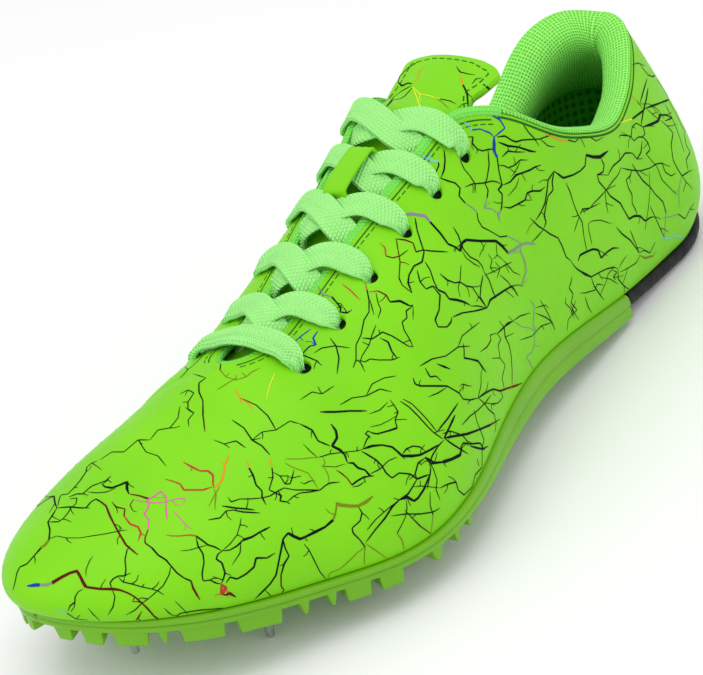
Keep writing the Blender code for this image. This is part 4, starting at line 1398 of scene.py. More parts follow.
def ribbons(name, strips, slot_name="upper"):
    """One piece of thin closed ribbons: each strip is (ink, points, normals, widths)."""
    letters = sorted({strip[0] for strip in strips})
    looks = [plain_look(INKS[letter][0], INKS[letter][1], 0.6) for letter in letters]
    points = []
    faces = []
    chosen = []
    for letter, places, normals, widths in strips:
        places = np.asarray(places, float)
        normals = unit(normals)
        run = unit(np.gradient(places, axis=0))
        across = unit(np.cross(run, normals)) * np.asarray(widths, float)[:, None] * 0.5
        start = len(points)
        ring = np.stack([places - across + normals * INK_LIFT, places + across + normals * INK_LIFT,
                         places - normals * INK_SINK], 1)
        points += list(ring.reshape(-1, 3))
        added = ring_faces(len(places), 3, start=start)
        faces += added
        chosen += [letters.index(letter)] * len(added)
    return make_solid(name, points, faces, looks, slot_name, chosen)


def wall_line(letter, stations, distance, side, width):
    """Strip that keeps a distance below the rim."""
    rises = np.array([rise_below_rim(s, distance, side) for s in stations])
    widths = np.full(len(stations), width)
    return letter, skin(stations, rises, side), skin_normal(stations, rises, side), widths


def dashes(strip, length, gap):
    """Strip of thread cut into dashes."""
    letter, places, normals, widths = strip
    run = run_along(places)
    cut_strips = []
    at = 0.0
    while at + length < run[-1]:
        wanted = np.linspace(at, at + length, 4)
        spot = np.stack([np.interp(wanted, run, places[:, c]) for c in range(3)], 1)
        up = np.stack([np.interp(wanted, run, normals[:, c]) for c in range(3)], 1)
        cut_strips.append((letter, spot, up, np.interp(wanted, run, widths)))
        at += length + gap
    return cut_strips


# Seams and stitches: distances below the rim and the length of a stitch, in metres
COLLAR_SEAM = 0.0011
THROAT_SEAM = 0.0021
THROAT_STITCHES = 0.0034
STITCH_LENGTH = 0.0016


def build_seams():
    """Seam under the collar, stitches beside the throat and along the tongue's top."""
    strips = []
    for side in (1, -1):
        collar = np.linspace(0.0, COLLAR_PAD_END + 0.01, 160)
        throat = np.linspace(COLLAR_PAD_END + 0.02, THROAT_END - 0.004, 180)
        strips.append(wall_line("T", collar, COLLAR_SEAM, side, 0.0006))
        strips.append(wall_line("T", throat, THROAT_SEAM, side, 0.0004))
        strips += dashes(wall_line("T", throat, THROAT_STITCHES, side, 0.0003), STITCH_LENGTH, 0.0008)
    start = TONGUE_ROWS - 34
    back = TONGUE_ROWS - 14
    near = 3
    far = TONGUE_COLUMNS - 4
    path = [(j, near) for j in range(start, back)]
    path += [(back + 0.5 * min(i - near, far - i, 8), i) for i in range(near + 1, far)]
    path += [(j, far) for j in range(back, start, -1)]
    spots = np.array([tongue_top[int(j), i] for j, i in path])
    ups = np.array([tongue_up[int(j), i] for j, i in path])
    strips += dashes(("T", spots, ups, np.full(len(spots), 0.0004)), STITCH_LENGTH, 0.0009)
    ribbons("seams_and_stitches", strips)


# Crackle print, read from the photo. A stroke is an ink letter with a width in the photo's
# pixels, then the places it passes through. A stroke after a semicolon goes on from the one before
# it, and a line that starts with a space goes on from the line above.
STROKES = """
B2.2 27,586 36,585 40,585; G2.0 40,585 46,585 52,583; D2.4 52,583 62,577 70,573 77,571 80,576 84,584 86,587;
 D2.0 86,587 100,589 113,589 120,590; D1.4 120,590 128,593 135,597 142,603 148,609 154,616; K1.2 154,616
 160,620 172,620 176,616 181,613 187,612 200,610 212,609 222,608
K1.6 27,508 38,506 46,500 54,496 55,503 57,508
K1.3 57,508 70,507 80,508 86,508 91,502 96,499 101,502; D1.4 101,502 106,506 110,516 114,524 120,535 126,545
 133,551 138,555
K1.4 57,508 52,516 48,522 50,530 49,540; W2.2 49,540 45,545 41,548; K1.1 41,548 34,556 27,564 20,567 17,573
 15,583 13,590
K1.0 48,522 58,522 63,519 68,513 71,508 76,504 77,498 70,499
K1.1 58,506 59,500 61,495 68,494 74,488 80,481 86,472 87,467 92,463 97,461
K1.2 69,497 77,494 83,494 87,490 92,486 100,483 106,481 111,476
K0.8 87,492 97,493 107,492 116,488
K2.0 102,484 105,487 112,488 120,485 127,482 127,489 129,494
K1.0 103,484 108,480 112,483
K0.7 49,539 57,536 66,538 80,538 92,536 105,534 120,531 127,530
D1.5 129,494 140,496 149,499; P1.2 149,499 156,495 161,491 166,497 166,508 167,520
P1.2 149,499 148,508 144,514 149,520 148,530; D1.0 148,530 145,538 145,543 152,548; K1.1 152,548 158,555
 166,560 171,566 177,573 184,578 191,581; D1.4 191,581 193,588 197,595 200,600
K0.7 171,566 169,575 163,586 155,593 148,599 142,603 135,610 126,615
D1.2 112,502 116,507 125,509 124,516; R1.2 124,516 130,524 138,527 141,533 138,541
D0.8 134,499 130,505 133,511 137,512
P0.8 134,500 145,502 156,503 165,502 172,500 180,498 185,499 183,505
R1.2 165,479 175,482 180,484 184,490 192,490 203,490 212,487
R1.4 183,462 192,467 200,471 208,471 213,475 213,484 214,488
O1.2 213,489 219,484 222,480 224,472 225,465 229,455
W0.8 214,489 216,495 215,503 215,510
W0.8 220,486 214,496 209,506
P0.8 173,511 180,518 186,525 191,529
R0.9 166,535 172,536 180,536 190,535 196,536; K1.1 196,536 203,541 208,545 215,547 222,551
K0.6 180,551 190,550 200,547 208,545
K1.0 196,537 198,546 203,554 204,562 202,574 203,581 210,580 216,583 221,584
K1.1 222,551 218,554 216,559 222,563 225,573 223,580 221,584
R2.6 221,584 226,588 222,594 221,585
D2.2 222,594 226,595 229,593 236,597
K1.0 112,589 110,583 113,579 118,576 125,576 126,570 125,560 127,550 130,546
K0.8 118,577 123,582 132,584 142,587 152,589 158,591 164,595
K0.8 112,589 115,597 113,607 108,615
K0.9 83,589 78,592 75,597 75,602 70,606 68,611
K0.6 93,556 89,562 86,570 86,577
K0.8 88,608 93,614 100,621
L0.9 57,610 67,613; K0.8 67,613 76,619 88,620
K0.8 164,608 168,612 172,615 178,616
K0.7 175,601 182,608 188,614
D1.2 142,611 138,618 134,622
K0.9 228,497 231,502 240,499 250,499 262,498 270,496 278,491 284,488 295,490 308,490 319,490
K1.2 278,491 281,496 280,501 287,502 290,504
K1.4 222,506 235,508 246,509 255,510
K1.0 208,520 220,518 226,511 233,510 243,512 260,513
K0.9 287,502 294,496 300,493 310,492 320,490 326,485 330,483 340,482
O0.8 247,460 249,468; K1.2 249,468 253,475 256,485 262,491 262,497 266,505
O0.8 270,458 272,468; K0.9 272,468 273,477 269,490 276,493 282,497
K0.9 273,472 280,476 285,484 290,484 292,478 294,470
W0.8 285,463 292,467 300,470 308,473 313,480 318,489
K0.8 300,482 304,484 310,481 315,481
K0.6 303,444 310,451 317,457
W0.7 285,459 300,459 320,457; K0.7 320,457 330,454 345,452 357,451 363,449
K1.8 331,424 336,431 337,438 332,446 340,450 345,455 347,462
K1.4 347,463 353,463 358,468 365,470 370,476 374,476
K1.8 320,412 335,412 350,411 367,411
W0.7 323,457 325,463 323,466 327,472 329,478 328,483
K0.6 321,466 335,467 345,464
D1.0 336,470 341,473 347,478 352,485; K1.3 352,485 357,481 364,477 372,476
K0.7 352,487 358,486 366,481
K1.6 363,449 372,446 382,445 392,447 398,452; K2.4 398,452 402,456 412,456; K1.8 412,456 420,455 430,450
 438,445
K1.3 402,455 406,449 413,446 420,447 425,451
K1.2 361,451 368,455 376,460 382,466 386,473 392,478 399,473 410,474 417,479 425,476 431,474
K0.9 370,474 380,469 388,461 397,457
K1.0 363,449 366,441 369,436 365,434 368,431 372,433; K1.4 372,433 377,434 388,431 397,428; K1.0 397,428
 395,420 398,412 394,405 390,400
K0.6 370,427 380,425 390,420 396,416
K0.7 369,414 380,410 388,402
W2.2 373,496 366,502 358,506 350,506 340,505 336,503; W1.6 337,504 335,515 333,520; K1.9 333,520 325,527
 315,532 305,537 300,539 293,536 288,533; K1.5 288,533 283,539 282,545 279,560 276,575 270,584 262,592
 255,599
K1.3 283,539 285,548 289,556 284,564 281,575; D1.2 281,575 281,586 284,590 280,595
K1.0 358,506 362,513 360,521 352,528 353,533 360,540 365,547; W0.8 365,547 364,560 365,566
W0.8 365,547 357,553 348,562 340,569 330,573 327,580
W0.7 365,543 375,550 388,559
K0.9 304,544 309,550 314,560 320,572 326,579
K1.6 270,527 260,532 252,537 243,540; K1.1 243,540 237,546 230,550 222,551
K0.7 222,551 230,544 237,535 240,525 241,518
K0.7 241,541 240,553 232,565
K1.3 226,583 230,577 237,579 246,574 254,567 256,558 267,558 275,553
K0.8 264,589 270,595 275,598
K1.0 403,399 412,404 421,413 430,423 437,432
K1.0 400,401 409,407 418,416 427,426 434,433 443,439
K1.3 417,479 413,486 408,494 399,500 392,507 385,518 375,530 366,542
K0.8 396,502 384,512 375,520 367,530
K2.0 399,500 407,497 414,501; K1.6 414,501 418,498 424,489 427,481 430,474
K0.9 391,516 405,514 420,514 433,512 440,508
K0.8 406,500 407,508 405,518 400,528 397,533; W0.8 397,533 402,540 404,550
K1.0 405,510 412,518 420,526; D1.0 420,526 430,533 432,537
K0.9 430,492 430,505 433,515; W0.8 433,515 431,533
K0.7 413,487 420,486 432,487 440,488
K1.1 425,458 418,463 415,474 417,479
K1.3 425,458 431,464 440,462
K1.3 431,464 430,474 427,489
K1.0 431,464 434,471 437,480 436,490 440,500
K1.3 458,403 448,418 440,428 437,432
K2.0 455,415 449,428 444,438
K1.8 444,438 455,436 467,434 478,430 490,425; D1.8 490,425 500,419
K1.3 444,438 452,444 460,449 468,454
K1.0 442,434 450,431 462,435 467,441 468,446
K1.2 444,440 438,446 432,456 429,466
K2.6 462,447 460,455 452,459 443,462; K2.0 443,462 434,463 430,460 425,457
K1.6 460,449 463,443 470,444 480,443 484,450
K2.0 470,446 477,448 483,449 488,446
K1.1 474,410 477,422 481,432 484,440 482,448 482,460 482,467; K1.2 482,467 475,475 472,487 464,495 458,490
 456,482 448,484 440,488
K1.2 477,459 479,466
K1.4 443,462 446,467
K0.9 462,425 470,416 477,411 485,403 491,395
K1.3 478,398 470,400 463,399 459,393 452,389 447,386 440,386 420,386 415,384 413,378
K0.8 428,397 438,393 447,387
K1.0 460,386 463,384 468,386 472,386
K1.6 478,398 485,393 493,389 500,391; D1.8 500,391 508,388 515,386 522,383
R3.0 510,387 515,385
K1.2 478,398 484,403 488,409 494,414 496,423; D1.4 496,423 495,432
K0.9 500,391 503,397 498,403 491,404 492,410
K0.8 478,398 481,385 481,372 483,368
K1.8 486,372 482,367 478,361 470,359 464,358; K1.3 464,358 464,350 463,343
K1.4 512,384 512,370 511,355 509,345 505,337 504,327 508,323 512,321
K1.0 504,388 502,378 505,365 500,358 498,345 501,339 497,334
K0.9 480,352 487,347 491,340 490,335 497,333
K1.3 513,321 505,326 500,331 497,334
K1.0 513,321 520,316 530,313
G1.0 513,321 522,327 530,328 535,331 534,345 532,352 526,357 530,363 534,370
K0.8 513,321 508,316
K0.8 570,305 574,312 568,320 567,331
K0.8 576,300 572,310 579,320
K1.0 413,347 410,340 404,330 402,322 407,318 406,311 413,306
K1.2 425,368 430,377 436,376 441,381
K2.0 437,364 450,369
K0.9 180,378 188,370 197,362 206,352
K0.9 180,368 190,358 198,352
K0.8 193,374 200,376 206,378
K1.1 206,378 199,383 199,392 203,401 203,415; D1.1 203,415 205,432
K0.9 180,394 188,390 194,393 188,402 188,409 194,413 188,420 189,427
K0.9 236,347 226,357 221,363 220,370; W0.8 220,370 226,377 236,380 246,377 252,372 260,368
W0.8 217,390 228,383 236,378
O0.9 235,388 240,398 248,403 254,411
Y0.8 266,400 270,385 275,373
K0.9 282,333 288,344 294,352 300,354 310,358 317,361 322,366
B1.0 311,329 300,337 290,346
B1.2 318,331 313,338 316,345 310,346; K1.2 310,346 304,352 301,357
K0.9 314,353 322,348 335,346 350,348
K0.9 330,338 336,346 339,358 337,374
G1.6 318,286 322,294 332,297; K1.3 332,297 337,303 341,308 340,312 347,313 352,310
R0.9 342,284 350,290 357,297 360,300
R1.0 365,282 367,290; K0.9 367,290 369,300 369,312 364,320 361,335 356,345 356,360 353,368
R1.0 369,292 378,291; D1.2 378,291 386,295 390,302; K1.8 390,302 400,301 410,306 413,305
K0.8 376,293 378,303 381,310 378,318
K0.8 370,300 374,315
K0.7 413,306 413,320
K1.1 362,338 372,339 380,334 382,332 392,336 400,341 408,346 413,347
K1.2 380,338 388,342 392,352 397,358
K0.8 376,325 372,335 369,345 362,356 360,362 365,372
K0.9 358,360 365,362 370,359 378,360 392,360 400,357
K1.2 444,150 445,160 444,170 441,178
K1.3 440,178 448,181 455,183 460,188 459,196 465,203; G1.3 465,203 474,209 477,213; K1.1 477,213 478,220
 482,227 490,231 500,237 507,236; G1.0 507,236 513,239 521,243
K1.0 433,182 436,172 439,165 438,162; L1.2 438,162 432,161 420,155
L1.6 416,165 424,168 428,160
K1.1 460,160 464,169 470,176 475,184 475,193
K1.2 465,187 472,184 484,183 492,181 497,182 502,185
K1.1 488,150 489,165 487,178 485,184 488,190 487,198; G1.1 487,198 484,208 492,209 497,213 500,218
B2.0 494,150 497,157; K1.6 497,157 499,172 502,185; K1.4 502,185 498,190 502,194 502,203 501,210; G2.0
 501,210 498,215 500,222
K1.0 498,165 505,166 508,168 515,165 520,160 528,160
K1.6 503,185 510,182 516,175 522,173 530,170 535,167 541,165
K0.8 520,162 515,172 511,177
K0.8 519,178 516,187 508,196
K1.4 503,207 510,208 518,204 525,200 527,193 532,191 540,191 545,187
K1.5 554,171 548,180 547,190 545,203 541,212 536,220
K1.5 554,171 552,182 553,190 548,196 546,205 544,216 546,222 544,228
K1.8 554,171 563,178 573,175 580,171 585,166 586,155; K2.8 586,155 593,157 600,157 608,151
W0.8 536,220 530,226 526,234
K1.3 530,218 538,226 543,229 550,234 558,238 562,246 566,257 571,261
K0.9 544,229 537,237 532,242
K1.1 566,183 570,192 574,205 578,215 582,222 584,238 587,252
K1.2 579,217 577,223 574,232
K0.9 580,213 590,208 600,203
V2.4 400,215 412,214 425,216 430,222; K1.8 430,222 440,233 448,244 455,247 460,251; K2.6 460,251 462,243
 466,240 480,241 496,241 502,246 508,253; G2.4 508,253 514,250 520,245 527,243 535,244
K1.3 453,227 458,235 461,244 464,250 470,257 478,261 482,266 484,272
K0.8 462,251 466,258 474,264 480,267
R1.0 380,243 385,248 386,256; D1.0 386,256 393,258 400,256; K1.0 400,256 408,250
D1.0 396,238 398,250 400,262 399,278; K1.0 399,278 402,285 412,293
D1.4 396,239 405,240 413,243 416,252; K1.3 416,252 423,250 430,251 448,252
K1.3 415,218 417,230 421,243 424,252 422,262 414,266 409,275 408,283 412,293
K1.4 425,262 430,270 434,282 438,290; K1.9 438,290 445,293 449,299 457,300 464,302 470,305
K1.2 417,270 420,282 426,289 433,286 437,289
K1.4 433,287 440,295 439,310 435,320 438,327 447,327 451,322 452,317
K1.4 440,274 447,280 455,283 460,282 466,286 472,287 478,296 484,304 487,308
K0.8 461,265 460,280 458,288 460,297
K1.1 487,308 480,297 481,285 483,275
K1.9 487,308 490,300 496,296 505,290 512,286 518,296
K1.3 487,308 475,311 462,313 453,317
K1.1 487,308 478,306 470,306
K1.3 484,272 489,280 493,292 496,298
K0.9 488,254 492,260 490,268 495,273
K0.9 495,262 500,268 497,278
K0.9 503,260 510,268 513,272 520,275
K0.9 485,275 495,271 505,265 512,262
K1.0 500,275 508,282 513,290
K0.8 496,243 497,255 503,260
K0.7 486,243 482,250 479,257
G2.0 521,243 520,250 525,262 526,272 522,283
G1.0 528,279 522,284 518,286
G1.2 530,300 534,305 534,312 533,325 537,333
K0.9 535,308 545,305 549,308
K1.0 535,313 545,317 551,321 555,330
K0.9 540,300 546,310 551,320
K1.2 571,261 574,266 578,270 588,275 592,277
K1.4 600,157 604,165 603,172 597,175 599,182 606,190 610,196 620,203 625,212 629,219; K1.9 629,219 634,216
 640,216 645,221 651,217 655,217
K1.0 606,190 600,197 594,203 590,208 582,209 580,215
K1.1 606,190 612,182 618,175 621,167
K0.8 605,190 606,203 608,213
K1.0 621,168 630,170 640,171 650,168 656,164 662,163 665,172 671,176 676,173
K1.3 608,175 613,166 620,160 625,153 632,153 637,159 641,152 642,141
K1.2 619,138 620,135 630,136 634,141 638,137 643,137 648,143 650,150 646,154; K0.9 646,154 651,160 657,167
 662,180 670,188 677,195
K1.2 634,141 631,137 632,127 636,123 643,127 645,134 641,138
K2.6 643,127 652,124 658,121 660,115; K1.8 660,115 666,115 672,118 665,121
K1.2 660,120 667,126 673,133 671,145 673,160 678,170 682,176 688,172 692,170
K1.3 647,79 643,92 640,103
K1.5 648,88 646,100 643,112 641,125
K1.9 646,108 652,106 660,103 668,100 670,97
K1.7 646,108 640,113 632,119; Y1.4 632,119 625,121 619,123
K1.2 646,108 652,114 658,119
O0.9 631,95 637,101; K0.9 637,101 642,108
K0.8 638,104 650,104 658,110 664,119
K1.0 632,65 638,63 645,66
K1.3 640,65 648,75 653,77 657,73
K1.0 657,80 663,88 668,97
K0.9 665,104 672,118 677,130 681,142 684,152
K0.9 668,100 676,114 682,127 686,132
K1.2 684,132 686,145 690,152 686,160 688,170
G1.5 682,176 680,183 679,190 679,207
K1.0 682,176 686,182 683,192
G0.9 661,218 670,217 678,214; K0.9 678,214 685,219 690,209 694,203
K1.3 632,164 638,174 643,181 650,187 655,194 663,202 666,213; G1.1 666,213 665,227 664,240
K1.2 632,170 630,176 626,180 628,187 632,195 632,203 636,211 637,216
K0.7 649,172 650,190 648,210 645,230
K1.0 650,206 655,217 660,228 664,237
K1.3 616,227 622,234 630,240 636,248 639,253
K1.0 630,230 634,240 639,252
K1.0 639,253 644,250 650,253 655,242
W1.8 639,255 645,258 653,256 655,252
K1.2 640,256 636,263 628,268 620,272
K0.8 628,268 624,280 622,285
K1.9 578,261 580,255 586,252 593,249 598,250 601,258 607,252 613,248 619,248
K1.3 578,270 585,275 591,277 598,273 606,269 614,267 618,269
K1.1 591,277 594,286 600,295 604,300
K1.0 614,267 608,274 606,282 600,295
K1.2 612,270 617,272 613,277 616,280
K1.2 618,269 618,279 624,286 630,290
K1.0 600,277 610,279 618,284
K1.2 603,285 597,284 595,290 585,293 580,293
K1.0 572,276 571,282 569,288 573,294 571,303 577,310 570,317
K0.9 566,297 565,303 570,308 574,318
K1.0 585,297 588,307 592,313
L0.9 660,237 668,239 676,235 686,240
K0.9 627,255 622,262 619,268
K0.9 588,224 592,221 600,220 612,224
K1.0 588,224 589,232 592,245
K1.0 522,123 529,133 534,138 537,143 539,146
K1.3 497,137 505,136 511,140 516,142 522,140 540,139 548,136 553,133
K1.0 540,139 548,146 555,147
O1.0 545,134 560,140 568,140; K1.0 568,140 575,142 580,137 590,137 596,141 604,137
K1.7 498,142 508,146 518,147 530,151 536,152
K1.2 502,157 508,151 515,152 525,152
L1.2 460,121 467,124 472,130; B1.4 472,130 480,129 490,133 494,137
B1.4 494,137 505,128 500,120 490,114 482,112
B2.8 494,137 494,150 496,157
K1.3 467,137 473,137 472,143 477,149 482,151 490,149 494,150
K2.0 398,82 402,86 408,83 412,84
K1.2 398,82 400,76 408,68 418,62
K1.3 411,86 402,91 394,97 388,105 384,110
K1.0 412,88 405,96 400,99 393,100 390,104
O0.9 413,84 418,78 419,72 423,68
Y1.0 413,87 420,94 430,96 440,99; K0.9 440,99 450,101 456,104
Y1.0 413,87 417,98 421,110 430,112 434,117
W0.9 435,97 443,103 449,109
O1.0 460,75 463,85; K1.3 463,85 467,93 468,103 468,108
K2.0 483,84 488,88 494,92 490,96 484,95 485,106
W2.4 494,92 497,88
K0.9 472,84 476,79 482,78
K1.0 456,66 460,72 468,74 475,75
K1.0 232,420 244,428 252,440 262,446 270,455
K0.8 252,440 262,432 276,430 290,421 300,424
K1.2 300,424 312,430 318,441 330,446
K0.8 240,398 256,405 268,416 276,430
K0.9 340,405 352,398 366,396 380,389 392,392
K0.8 366,396 372,384 384,378 396,376
K1.0 420,366 432,359 446,356 458,347 470,346
K0.8 458,347 462,336 472,328 480,322
K0.9 520,340 532,336 541,326 553,322
K0.8 300,400 312,392 322,394 334,386
K0.9 214,440 224,444 236,441 246,448
K0.8 150,440 158,430 170,428 178,418 180,406
K0.9 100,460 112,452 124,452 138,440 150,440
K0.7 138,440 146,452 158,456 166,466
"""

# Strokes in the photo, in its pixels: their step, the share of the width at a loose end and how far
# from it the stroke is full, and the seeded twigs beside them
STROKE_STEP = 1.5
FADE_START = 0.35
FADE_REACH = 9
TWIG_CHANCE = 0.22
TWIG_STEPS = 7

# Strips on the shoe, in metres: the size of a photo pixel, the jump in distance that parts a strip,
# how far a stroke may lie off the skin and still be mirrored, and how deep a hidden place is. A strip
# has at least the last number of points.
PHOTO_PIXEL = 0.00034
JUMP = 0.0035
MIRROR_MISS = 0.0015
HIDDEN_DEPTH = 0.002
SHORTEST_STRIP = 3


def photo_rays(places):
    """Directions from the camera through places in the photo."""
    right = unit(RIGHT)
    down = unit(np.array(DOWN) - right * np.dot(DOWN, right))
    forward = np.cross(right, down)
    x = places[:, :1] - 0.5 * IMAGE_WIDTH
    y = places[:, 1:] - 0.5 * IMAGE_HEIGHT
    return unit(right * x + down * y + forward * FOCAL_PIXELS)


def fading(distance):
    """Share of the full width at a distance from a stroke's loose end, in the photo's pixels."""
    return np.clip(FADE_START + distance / FADE_REACH, 0, 1)


def read_strokes(rng):
    """Strokes as (ink, places in the photo, widths), with short seeded twigs."""
    strokes = []
    for line in STROKES.replace("\n ", " ").strip().splitlines():
        parts = [part.split() for part in line.split(";")]
        for order, part in enumerate(parts):
            letter = part[0][0]
            width = float(part[0][1:])
            knots = np.array([[float(v) for v in place.split(",")] for place in part[1:]])
            run = run_along(knots)
            count = max(3, int(run[-1] / STROKE_STEP) + 1)
            wanted = np.linspace(0, run[-1], count)
            places = np.stack([np.interp(wanted, run, knots[:, c]) for c in range(2)], 1)
            wobble = np.interp(wanted, run, rng.uniform(0.75, 1.2, len(knots)))
            fade_in = 1 if order > 0 else fading(wanted)
            fade_out = 1 if order < len(parts) - 1 else fading(run[-1] - wanted)
            strokes.append((letter, places, width * wobble * fade_in * fade_out))
            for knot, step in zip(knots[1:-1], np.diff(knots, axis=0)[1:]):
                if rng.random() > TWIG_CHANCE:
                    continue
                turn = math.atan2(step[1], step[0]) + rng.choice((-1, 1)) * rng.uniform(0.7, 1.6)
                reach = rng.uniform(4, 12)
                bend = turn + rng.uniform(-0.6, 0.6)
                elbow = knot + np.array((math.cos(turn), math.sin(turn))) * reach * 0.5
                tip = elbow + np.array((math.cos(bend), math.sin(bend))) * reach * 0.5
                share = np.linspace(0, 1, TWIG_STEPS)[:, None]
                first = knot + (elbow - knot) * share * 2
                second = elbow + (tip - elbow) * (share * 2 - 1)
                twig = np.where(share < 0.5, first, second)
                strokes.append((letter, twig, np.linspace(0.8, 0.4, TWIG_STEPS)))
    return strokes


def station_of(points, side):
    """Station and rise of points on one side of the skin, closed in on from the nearest of a coarse grid."""
    stations = np.linspace(0, 1, 61)
    rises = np.linspace(0, 1, 16)
    grid = skin(stations[:, None], rises[None, :], side)
    s = np.zeros(len(points))
    rise = np.zeros(len(points))
    for i, point in enumerate(points):
        away = ((grid - point) ** 2).sum(-1)
        a, b = np.unravel_index(int(np.argmin(away)), away.shape)
        s[i] = stations[a]
        rise[i] = rises[b]
    nudge = 1e-4
    for _ in range(7):
        here = skin(s, rise, side)
        along = (skin(np.clip(s + nudge, 0, 1), rise, side) - here) / nudge
        up = (skin(s, np.clip(rise + nudge, 0, 1), side) - here) / nudge
        gap = points - here
        along_along = (along * along).sum(-1)
        up_up = (up * up).sum(-1)
        along_up = (along * up).sum(-1)
        gap_along = (gap * along).sum(-1)
        gap_up = (gap * up).sum(-1)
        det = np.maximum(along_along * up_up - along_up ** 2, 1e-12)
        step = np.clip((gap_along * up_up - gap_up * along_up) / det, -0.02, 0.02)
        climb = np.clip((gap_up * along_along - gap_along * along_up) / det, -0.05, 0.05)
        s = np.clip(s + step, 0.0, 0.9998)
        rise = np.clip(rise + climb, 0.0, 0.9995)
    return s, rise


HEEL_WALKS = 44
WALK_ALONG = 0.016
WALK_UP = 0.050


def heel_strokes(rng):
    """Seeded crackle around the back of the heel, on signed roots of the station, outer side positive."""
    strokes = []
    for _ in range(HEEL_WALKS):
        place = rng.uniform(-0.26, 0.20)
        rise = rng.uniform(0.10, 0.95)
        turn = rng.uniform(0, 2 * math.pi)
        knots = [(place, rise)]
        for _ in range(rng.integers(5, 12)):
            turn += rng.uniform(-0.8, 0.8)
            place += WALK_ALONG * math.cos(turn)
            rise += WALK_UP * math.sin(turn)
            if not 0.04 < rise < 0.95:
                break
            knots.append((place, rise))
        if len(knots) < 4:
            continue
        knots = np.array(knots)
        wanted = np.linspace(0, len(knots) - 1, 5 * len(knots))
        along = np.interp(wanted, np.arange(len(knots)), knots[:, 0])
        high = np.interp(wanted, np.arange(len(knots)), knots[:, 1])
        outer = along[:, None] >= 0
        s = along ** 2
        places = np.where(outer, skin(s, high, 1), skin(s, high, -1))
        normals = np.where(outer, skin_normal(s, high, 1), skin_normal(s, high, -1))
        width = rng.uniform(0.00026, 0.00050) * np.sin(np.pi * np.linspace(0.12, 0.88, len(wanted)))
        strokes.append(("K", places, normals, width))
    return strokes


def hidden_parts(strip, eye, surface):
    """Parts of a strip that the photo's camera can't see."""
    letter, places, normals, widths = strip
    kept = []
    piece = []
    for k, point in enumerate(list(places) + [None]):
        hit = surface.ray_cast(eye, Vector(point) - eye)[0] if point is not None else None
        if hit is not None and (hit - Vector(point)).length > HIDDEN_DEPTH:
            piece.append(k)
            continue
        if len(piece) >= SHORTEST_STRIP:
            kept.append((letter, places[piece], normals[piece], widths[piece]))
        piece = []
    return kept


def photo_strips(rng, eye, surfaces):
    """Strokes laid on the surfaces in the photo's view: (strip, number of the surface under it)."""
    strips = []
    for letter, places, widths in read_strokes(rng):
        hits = []
        for ray in photo_rays(places):
            found = [(*tree.ray_cast(eye, Vector(ray)), number) for number, tree in enumerate(surfaces)]
            found = [hit for hit in found if hit[0] is not None]
            hits.append(min(found, key=lambda hit: hit[3]) if found else None)
        piece = []
        for k, hit in enumerate(hits + [None]):
            jump = hit is not None and piece and abs(hit[3] - piece[-1][1][3]) > JUMP
            if hit is None or jump:
                if len(piece) >= SHORTEST_STRIP:
                    spots = np.array([spot for _, (spot, _, _, _, _) in piece])
                    normals = np.array([normal for _, (_, normal, _, _, _) in piece])
                    metres = np.array([widths[i] * PHOTO_PIXEL for i, _ in piece])
                    strips.append(((letter, spots, normals, metres), piece[0][1][4]))
                piece = []
            if hit is not None:
                piece.append((k, hit))
    return strips


def unseen_strips(on_skin, rng, eye, surface):
    """The print mirrored to the inner side, and the heel's crackle, where the photo doesn't show them."""
    every = np.concatenate([places for _, places, _, _ in on_skin])
    stations, rises = station_of(every, 1)
    misses = np.linalg.norm(skin(stations, rises, 1) - every, axis=1)
    far_side = skin(stations, rises, -1)
    far_up = skin_normal(stations, rises, -1)
    strips = []
    start = 0
    for letter, places, _, widths in on_skin:
        part = slice(start, start + len(places))
        start += len(places)
        if misses[part].max() <= MIRROR_MISS:
            strips += hidden_parts((letter, far_side[part], far_up[part], widths), eye, surface)
    for strip in heel_strokes(rng):
        strips += hidden_parts(strip, eye, surface)
    return strips


def build_print():
    """Crackle print: one piece as the photo shows it, and one where the photo doesn't show it."""
    rng = np.random.default_rng(7)
    eye = Vector(EYE)
    surfaces = []
    for piece in (upper, tongue):
        mesh = piece.data
        corners = [vertex.co.copy() for vertex in mesh.vertices]
        surfaces.append(BVHTree.FromPolygons(corners, [tuple(face.vertices) for face in mesh.polygons]))
    strips = photo_strips(rng, eye, surfaces)
    on_skin = [strip for strip, number in strips if number == 0]
    unseen = unseen_strips(on_skin, rng, eye, surfaces[0])
    ribbons("crackle_print", [strip for strip, _ in strips])
    ribbons("crackle_print_inner", unseen)


build_seams()
build_print()

cut(upper, eyelet_rounds("eyelet_cutter", -EYELET_CUT_REACH, EYELET_CUT_REACH, EYELET_RADIUS))


# Camera, floor and lights

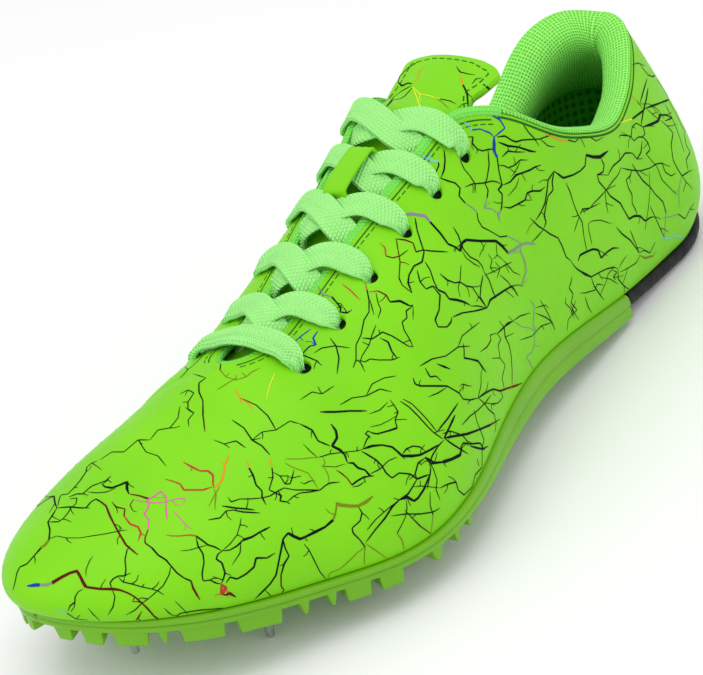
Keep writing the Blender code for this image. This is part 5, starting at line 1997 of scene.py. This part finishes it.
def add_camera():
    """Camera at the photo's viewing angle."""
    data = bpy.data.cameras.new("camera")
    data.sensor_fit = "HORIZONTAL"
    data.sensor_width = SENSOR
    data.lens = FOCAL_PIXELS * SENSOR / IMAGE_WIDTH
    data.clip_start = 0.01
    made = bpy.data.objects.new("camera", data)
    right = Vector(RIGHT).normalized()
    down = Vector(DOWN)
    down = (down - right * down.dot(right)).normalized()
    forward = right.cross(down)
    turn = Matrix((right, -down, -forward)).transposed().to_4x4()
    made.matrix_world = Matrix.Translation(EYE) @ turn
    bpy.context.scene.collection.objects.link(made)
    bpy.context.scene.camera = made


def add_area(name, place, size, power):
    """Soft light that looks at the middle of the shoe."""
    data = bpy.data.lights.new(name, "AREA")
    data.shape = "RECTANGLE"
    data.size, data.size_y = size
    data.energy = power
    made = bpy.data.objects.new(name, data)
    look = Vector(SHOE_MIDDLE) - Vector(place)
    made.matrix_world = Matrix.Translation(place) @ look.to_track_quat("-Z", "Y").to_matrix().to_4x4()
    bpy.context.scene.collection.objects.link(made)


SHOE_MIDDLE = (0.12, 0.0, 0.05)
LIGHTS = (
    # name, place, size, power
    ("key", (0.35, 0.10, 1.10), (0.9, 0.9), 4.2),
    ("front", (1.10, -0.20, 0.70), (0.7, 0.7), 1.6),
    ("outer", (0.10, 1.10, 0.60), (0.9, 0.6), 1.4),
)
WORLD_STRENGTH = 0.9
FLOOR_HALF = 6
FLOOR_HEIGHT = -0.0002


def add_stage():
    """Pale floor, white surroundings and soft lights."""
    floor_look = Look("floor_paint", (0.86, 0.86, 0.86), 0.55)
    floor_look.roughness(floor_look.spread(floor_look.noise(6.0), 0.5, 0.6))
    mesh = bpy.data.meshes.new("floor")
    quarters = ((-1, -1), (1, -1), (1, 1), (-1, 1))
    corners = [(x * FLOOR_HALF, y * FLOOR_HALF, FLOOR_HEIGHT) for x, y in quarters]
    mesh.from_pydata(corners, [], [(0, 1, 2, 3)])
    mesh.materials.append(floor_look.material)
    floor = bpy.data.objects.new("floor", mesh)
    bpy.context.scene.collection.objects.link(floor)
    world = bpy.data.worlds.new("world")
    bpy.context.scene.world = world
    world.use_nodes = True
    background = world.node_tree.nodes["Background"]
    background.inputs["Color"].default_value = (1, 1, 1, 1)
    background.inputs["Strength"].default_value = WORLD_STRENGTH
    for name, place, size, power in LIGHTS:
        add_area(name, place, size, power)


add_camera()
add_stage()
bpy.context.scene.view_settings.view_transform = "Standard"
